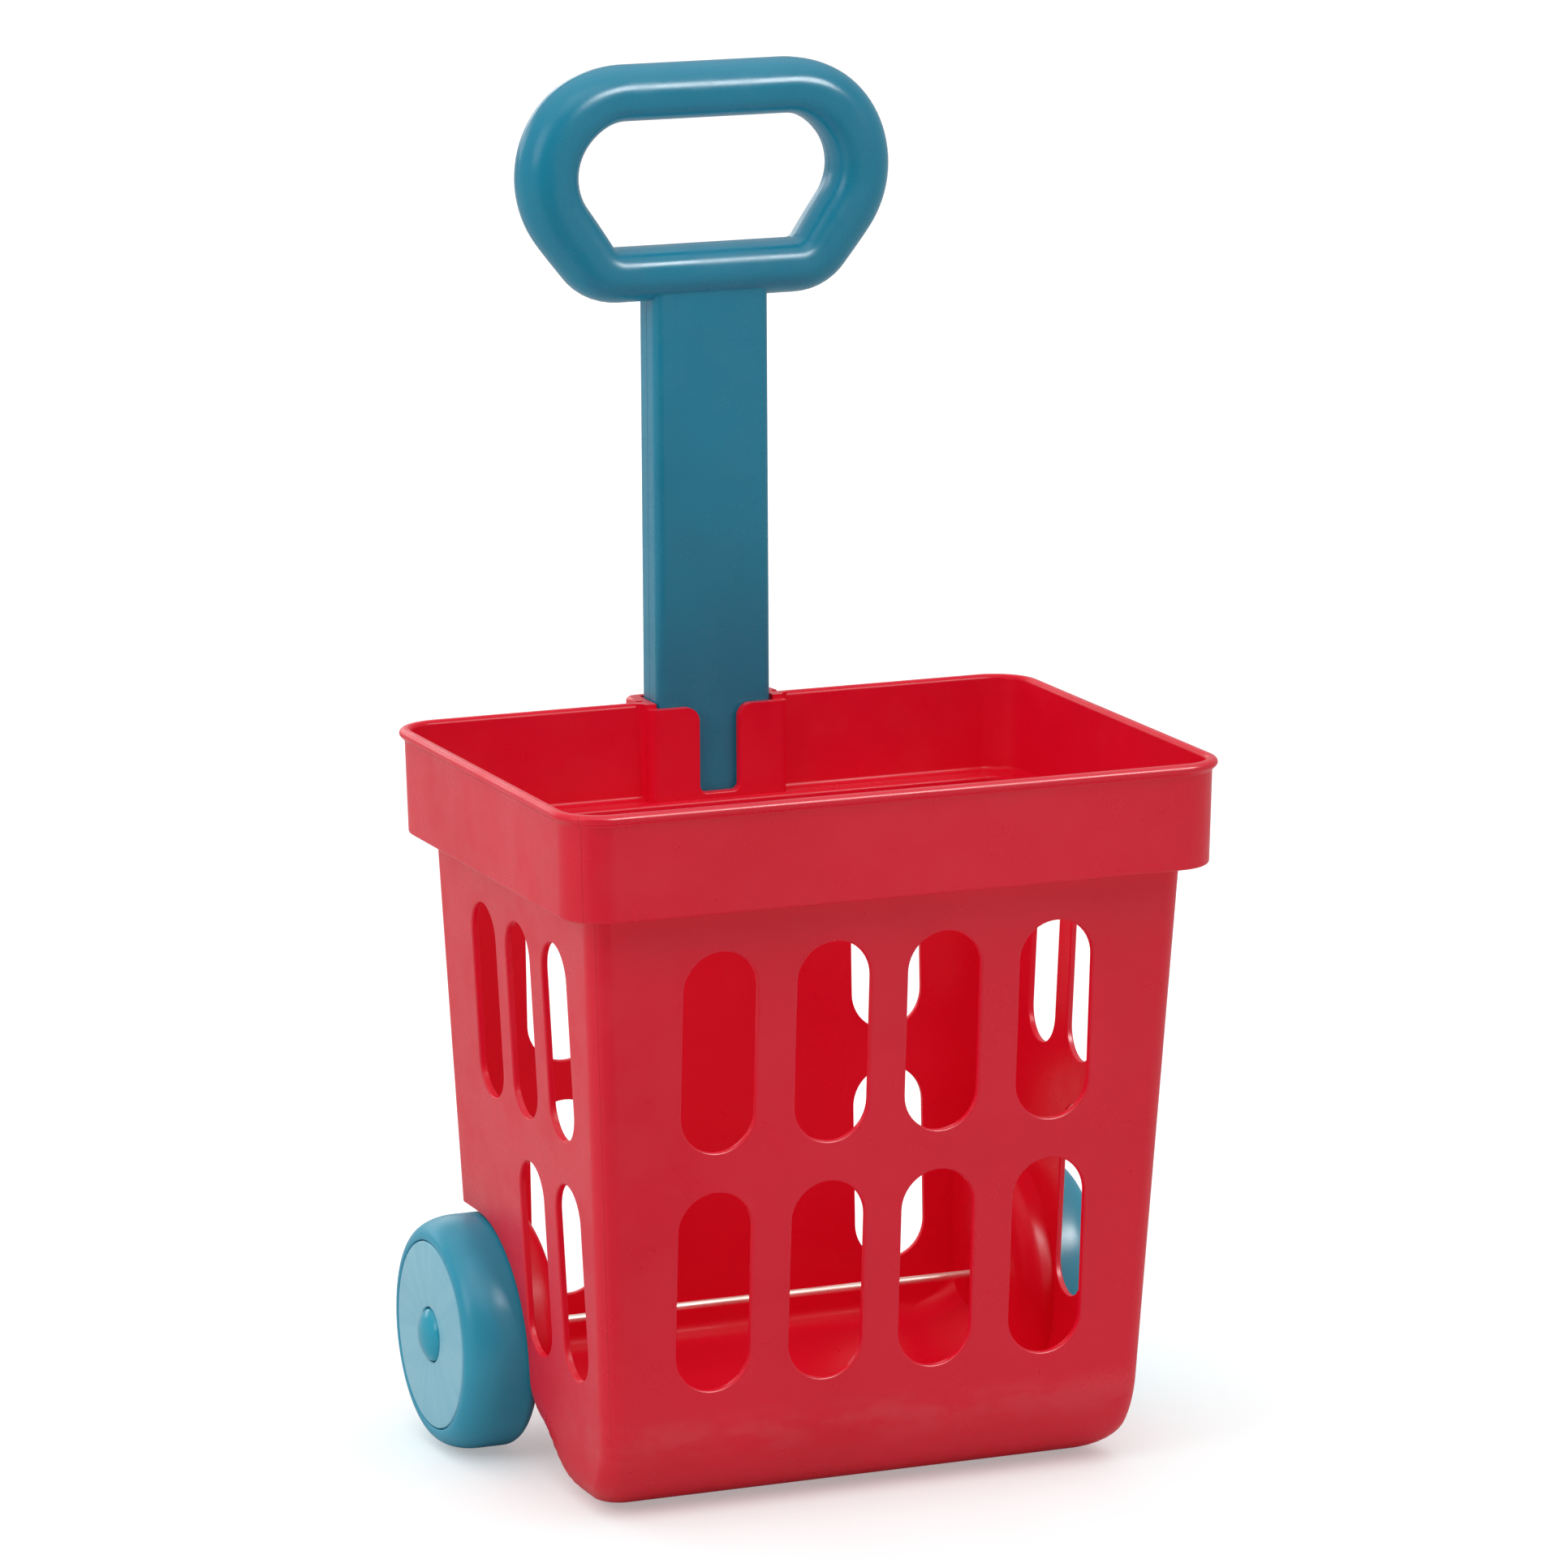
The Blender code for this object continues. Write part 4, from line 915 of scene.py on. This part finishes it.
tread = [(DISC_R + 0.35, WHEEL_OUT - 2.7), (DISC_R + 0.35, WHEEL_OUT - 0.75)]
tread += arc(DISC_R + 0.35 + 0.7, WHEEL_OUT - 0.72, 0.7, 180, 95, 5)
tread += shoulder(DISC_R + 1.5, WHEEL_OUT, WHEEL_R, 112.5, 22)
tread += [(WHEEL_R, 108.0), (WHEEL_R, 103.4)]
tread += arc(WHEEL_R - 4.6, 98.2 + 4.6, 4.6, 0, -90, 12)
tread += [(37.9, WHEEL_IN), (37.4, WHEEL_IN + 0.5), (36.8, WHEEL_IN + 0.5), (36.2, WHEEL_IN)]
tread += [(9.5, WHEEL_IN), (8.6, WHEEL_IN - 0.3), (7.0, WHEEL_IN - 0.9), (6.5, 96.6), (ROD_R + 0.35, 96.6), (ROD_R + 0.35, 119.4),
          (6.5, 119.4), (6.5, WHEEL_IN + 2.4), (WHEEL_R - 2.8, WHEEL_IN + 2.4)]
tread += list(reversed(shoulder(DISC_R - 1.0, WHEEL_OUT - 5.0, WHEEL_R - 2.6, 111.5, 12)))
tread += [(DISC_R - 1.6, WHEEL_OUT - 2.7)]

face = [(HUB_R + 2.0, WHEEL_OUT - 9.0), (HUB_R, WHEEL_OUT - 9.0), (HUB_R, WHEEL_OUT - 0.7)]
face += arc(HUB_R + 0.7, WHEEL_OUT - 0.65, 0.7, 180, 90, 5)
face += [(HUB_R + 3.0, WHEEL_OUT + 0.15), (16.0, WHEEL_OUT + 0.30), (20.0, WHEEL_OUT + 0.35), (25.0, WHEEL_OUT + 0.30),
         (30.0, WHEEL_OUT + 0.18), (32.5, WHEEL_OUT + 0.05)]
face += arc(DISC_R - 0.75, WHEEL_OUT - 0.75, 0.75, 88, 0, 6)
face += [(DISC_R, WHEEL_OUT - 2.4), (HUB_R + 2.0, WHEEL_OUT - 2.4)]

cap = [(CAP_R * math.sin(math.radians(a)), 124.9 + 5.0 * math.cos(math.radians(a))) for a in range(0, 91, 6)]
cap += [(CAP_R, 120.2), (CAP_R - 0.4, 119.8), (ROD_R + 0.3, 119.8), (ROD_R + 0.3, ROD_HALF + 0.4), (0.0, ROD_HALF + 0.4)]
for side, tag in ((-1, "left"), (1, "right")):
    for stem, prof, mat, body, segs, closed, sl in (
            ("wheel_tread_", tread, TREAD, "wheel_" + tag, 160, True, "tread_teal"),
            ("wheel_face_", face, DISC, "wheel_" + tag, 144, True, "disc_teal"),
            ("hub_cap_", cap, CAPM, "axle", 72, False, "cap_teal")):
        ob = turned(stem + tag + "_skin", prof, mat, side, segs, closed)
        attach(ob, body)
        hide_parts(stem + tag)
    for s in frame["nodes"]["axle_washer_" + tag].material_slots:
        s.material = STEEL

rod_prof = [(0.0, -ROD_HALF), (ROD_R - 0.3, -ROD_HALF), (ROD_R, -ROD_HALF + 0.3), (ROD_R, ROD_HALF - 0.3),
            (ROD_R - 0.3, ROD_HALF), (0.0, ROD_HALF)]
rod = turned("axle_rod_skin", rod_prof, STEEL, 1, 40, False)
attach(rod, "axle")
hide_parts("axle_rod")

# ---------------------------------------------------------------- studio
bpy.context.view_layer.update()
for ob in list(work.objects):
    bpy.data.objects.remove(ob, do_unlink=True)
bpy.data.collections.remove(work)

bm = bmesh.new()
bmesh.ops.create_grid(bm, x_segments=4, y_segments=4, size=40.0)
m, nt, bs = node_mat("floor_white")
path = N(nt, "ShaderNodeLightPath").outputs
seen, shiny = path["Is Camera Ray"], path["Is Glossy Ray"]
tone = math_n(nt, "ADD", ramp(nt, noise(nt, 3.0, 2.0), 0.3, 0.7, 0.74, 0.76), math_n(nt, "MULTIPLY", seen, 0.05))
tone = math_n(nt, "SUBTRACT", tone, math_n(nt, "MULTIPLY", shiny, 0.22))
fx, fy, fz = xyz(nt)
dist = math_n(nt, "SQRT", math_n(nt, "ADD", math_n(nt, "MULTIPLY", fx, fx), math_n(nt, "MULTIPLY", fy, fy)))
ahead = math_n(nt, "ADD", math_n(nt, "MULTIPLY", fx, -0.378), math_n(nt, "MULTIPLY", fy, -0.926))
ahead = ramp(nt, math_n(nt, "DIVIDE", ahead, math_n(nt, "MAXIMUM", dist, 0.01)), 0.76, 0.95, 0.0, 0.50)
ahead = math_n(nt, "MULTIPLY", ahead, ramp(nt, dist, 0.15, 0.35, 0.0, 1.0))
tone = math_n(nt, "SUBTRACT", tone, math_n(nt, "MULTIPLY", shiny, ahead))
cool = math_n(nt, "MULTIPLY", seen, ramp(nt, dist, 0.12, 0.36, 0.09, 0.0))   # balances the red bounce
comb = N(nt, "ShaderNodeCombineColor")
nt.links.new(math_n(nt, "MULTIPLY", tone, math_n(nt, "SUBTRACT", 1.0, cool)), comb.inputs[0])
for i in (1, 2):
    nt.links.new(tone, comb.inputs[i])
nt.links.new(comb.outputs[0], bs.inputs["Base Color"])
bs.inputs["Roughness"].default_value = 0.8
m.cycles.emission_sampling = "NONE"
bs.inputs["Specular IOR Level"].default_value = 0.0
bs.inputs["Emission Color"].default_value = (1.0, 1.0, 1.0, 1.0)
nt.links.new(math_n(nt, "ADD", math_n(nt, "MULTIPLY", seen, 0.335), 0.02), bs.inputs["Emission Strength"])
floor = from_bm("floor", bm, None, m)

world = bpy.data.worlds.new("studio") if not bpy.context.scene.world else bpy.context.scene.world
bpy.context.scene.world = world
world.use_nodes = True
bg = world.node_tree.nodes["Background"]
bg.inputs["Color"].default_value = (1, 1, 1, 1)
# white walls all round, darker on the side the camera stands
wt = world.node_tree
tc = N(wt, "ShaderNodeTexCoord")
dot = N(wt, "ShaderNodeVectorMath", operation="DOT_PRODUCT")
wt.links.new(tc.outputs["Generated"], dot.inputs[0])
dot.inputs[1].default_value = (-0.370, -0.907, 0.202)
split = N(wt, "ShaderNodeSeparateXYZ")
wt.links.new(tc.outputs["Generated"], split.inputs[0])
xyz_world = split.outputs
dark = ramp(wt, dot.outputs["Value"], 0.66, 0.92, 0.52, 0.06)
over = ramp(wt, xyz_world[2], 0.45, 0.85, 0.0, 0.55)
lit = math_n(wt, "ADD", dark, over)
direct = N(wt, "ShaderNodeLightPath").outputs["Is Camera Ray"]
wt.links.new(math_n(wt, "MAXIMUM", lit, direct), bg.inputs["Strength"])


def sun(name, az, el, strength, angle):
    """Distant soft light from azimuth az (0 = from the front, 90 = from +X) and elevation el."""
    li = bpy.data.lights.new(name, "SUN")
    li.energy = strength
    li.angle = math.radians(angle)
    ob = bpy.data.objects.new(name, li)
    bpy.context.scene.collection.objects.link(ob)
    a, e = math.radians(az), math.radians(el)
    to = Vector((math.sin(a) * math.cos(e), -math.cos(a) * math.cos(e), math.sin(e)))
    ob.rotation_euler = to.to_track_quat("Z", "Y").to_euler()
    return ob


sun("key", -25, 55, 0.30, 40)
sun("top", 20, 80, 0.20, 60)


def softbox(name, at, size_x, size_y, radiance):
    """Rectangular light facing the middle of the basket."""
    li = bpy.data.lights.new(name, "AREA")
    li.shape, li.size, li.size_y = "RECTANGLE", size_x, size_y
    li.energy = radiance * math.pi * size_x * size_y
    ob = bpy.data.objects.new(name, li)
    bpy.context.scene.collection.objects.link(ob)
    ob.location = at
    ob.rotation_euler = (Vector(at) - Vector((0.0, 0.0, 0.25))).to_track_quat("Z", "Y").to_euler()
    ob.visible_camera = False
    return ob


strip = softbox("strip", (0.80, -1.62, 1.55), 1.6, 0.60, 22.0)
strip.visible_diffuse = False                          # only for the sheen along round edges
softbox("side", (-1.75, -0.60, 1.15), 0.9, 0.9, 2.35)
softbox("back", (-0.50, 2.50, 0.95), 2.6, 0.7, 1.7)

# camera, three quarters from the front left
K, ZF = 0.875, 1.4
cam = bpy.data.cameras.new("camera")
cam.sensor_width = 36.0
cam.lens = 9849.18 / 1932 * 36.0
cam.clip_start, cam.clip_end = 0.1, 200.0
co = bpy.data.objects.new("camera", cam)
bpy.context.scene.collection.objects.link(co)
yaw, pitch, roll = (math.radians(v) for v in (22.188, 11.648, -0.309))
fwd = Vector((math.sin(yaw) * math.cos(pitch), math.cos(yaw) * math.cos(pitch), -math.sin(pitch)))
rt = Vector((math.cos(yaw), -math.sin(yaw), 0.0))
up = rt.cross(fwd)
c, s = math.cos(roll), math.sin(roll)
rt, up = c * rt + s * up, -s * rt + c * up
pos = Vector((-1221.251 * K, -2972.088 * K, (944.684 + ZF) * K)) * MM
co.matrix_world = Matrix(((rt.x, up.x, -fwd.x, pos.x), (rt.y, up.y, -fwd.y, pos.y), (rt.z, up.z, -fwd.z, pos.z), (0, 0, 0, 1)))
bpy.context.scene.camera = co
bpy.context.scene.view_settings.view_transform = "Standard"
bpy.context.scene.view_settings.look = "None"
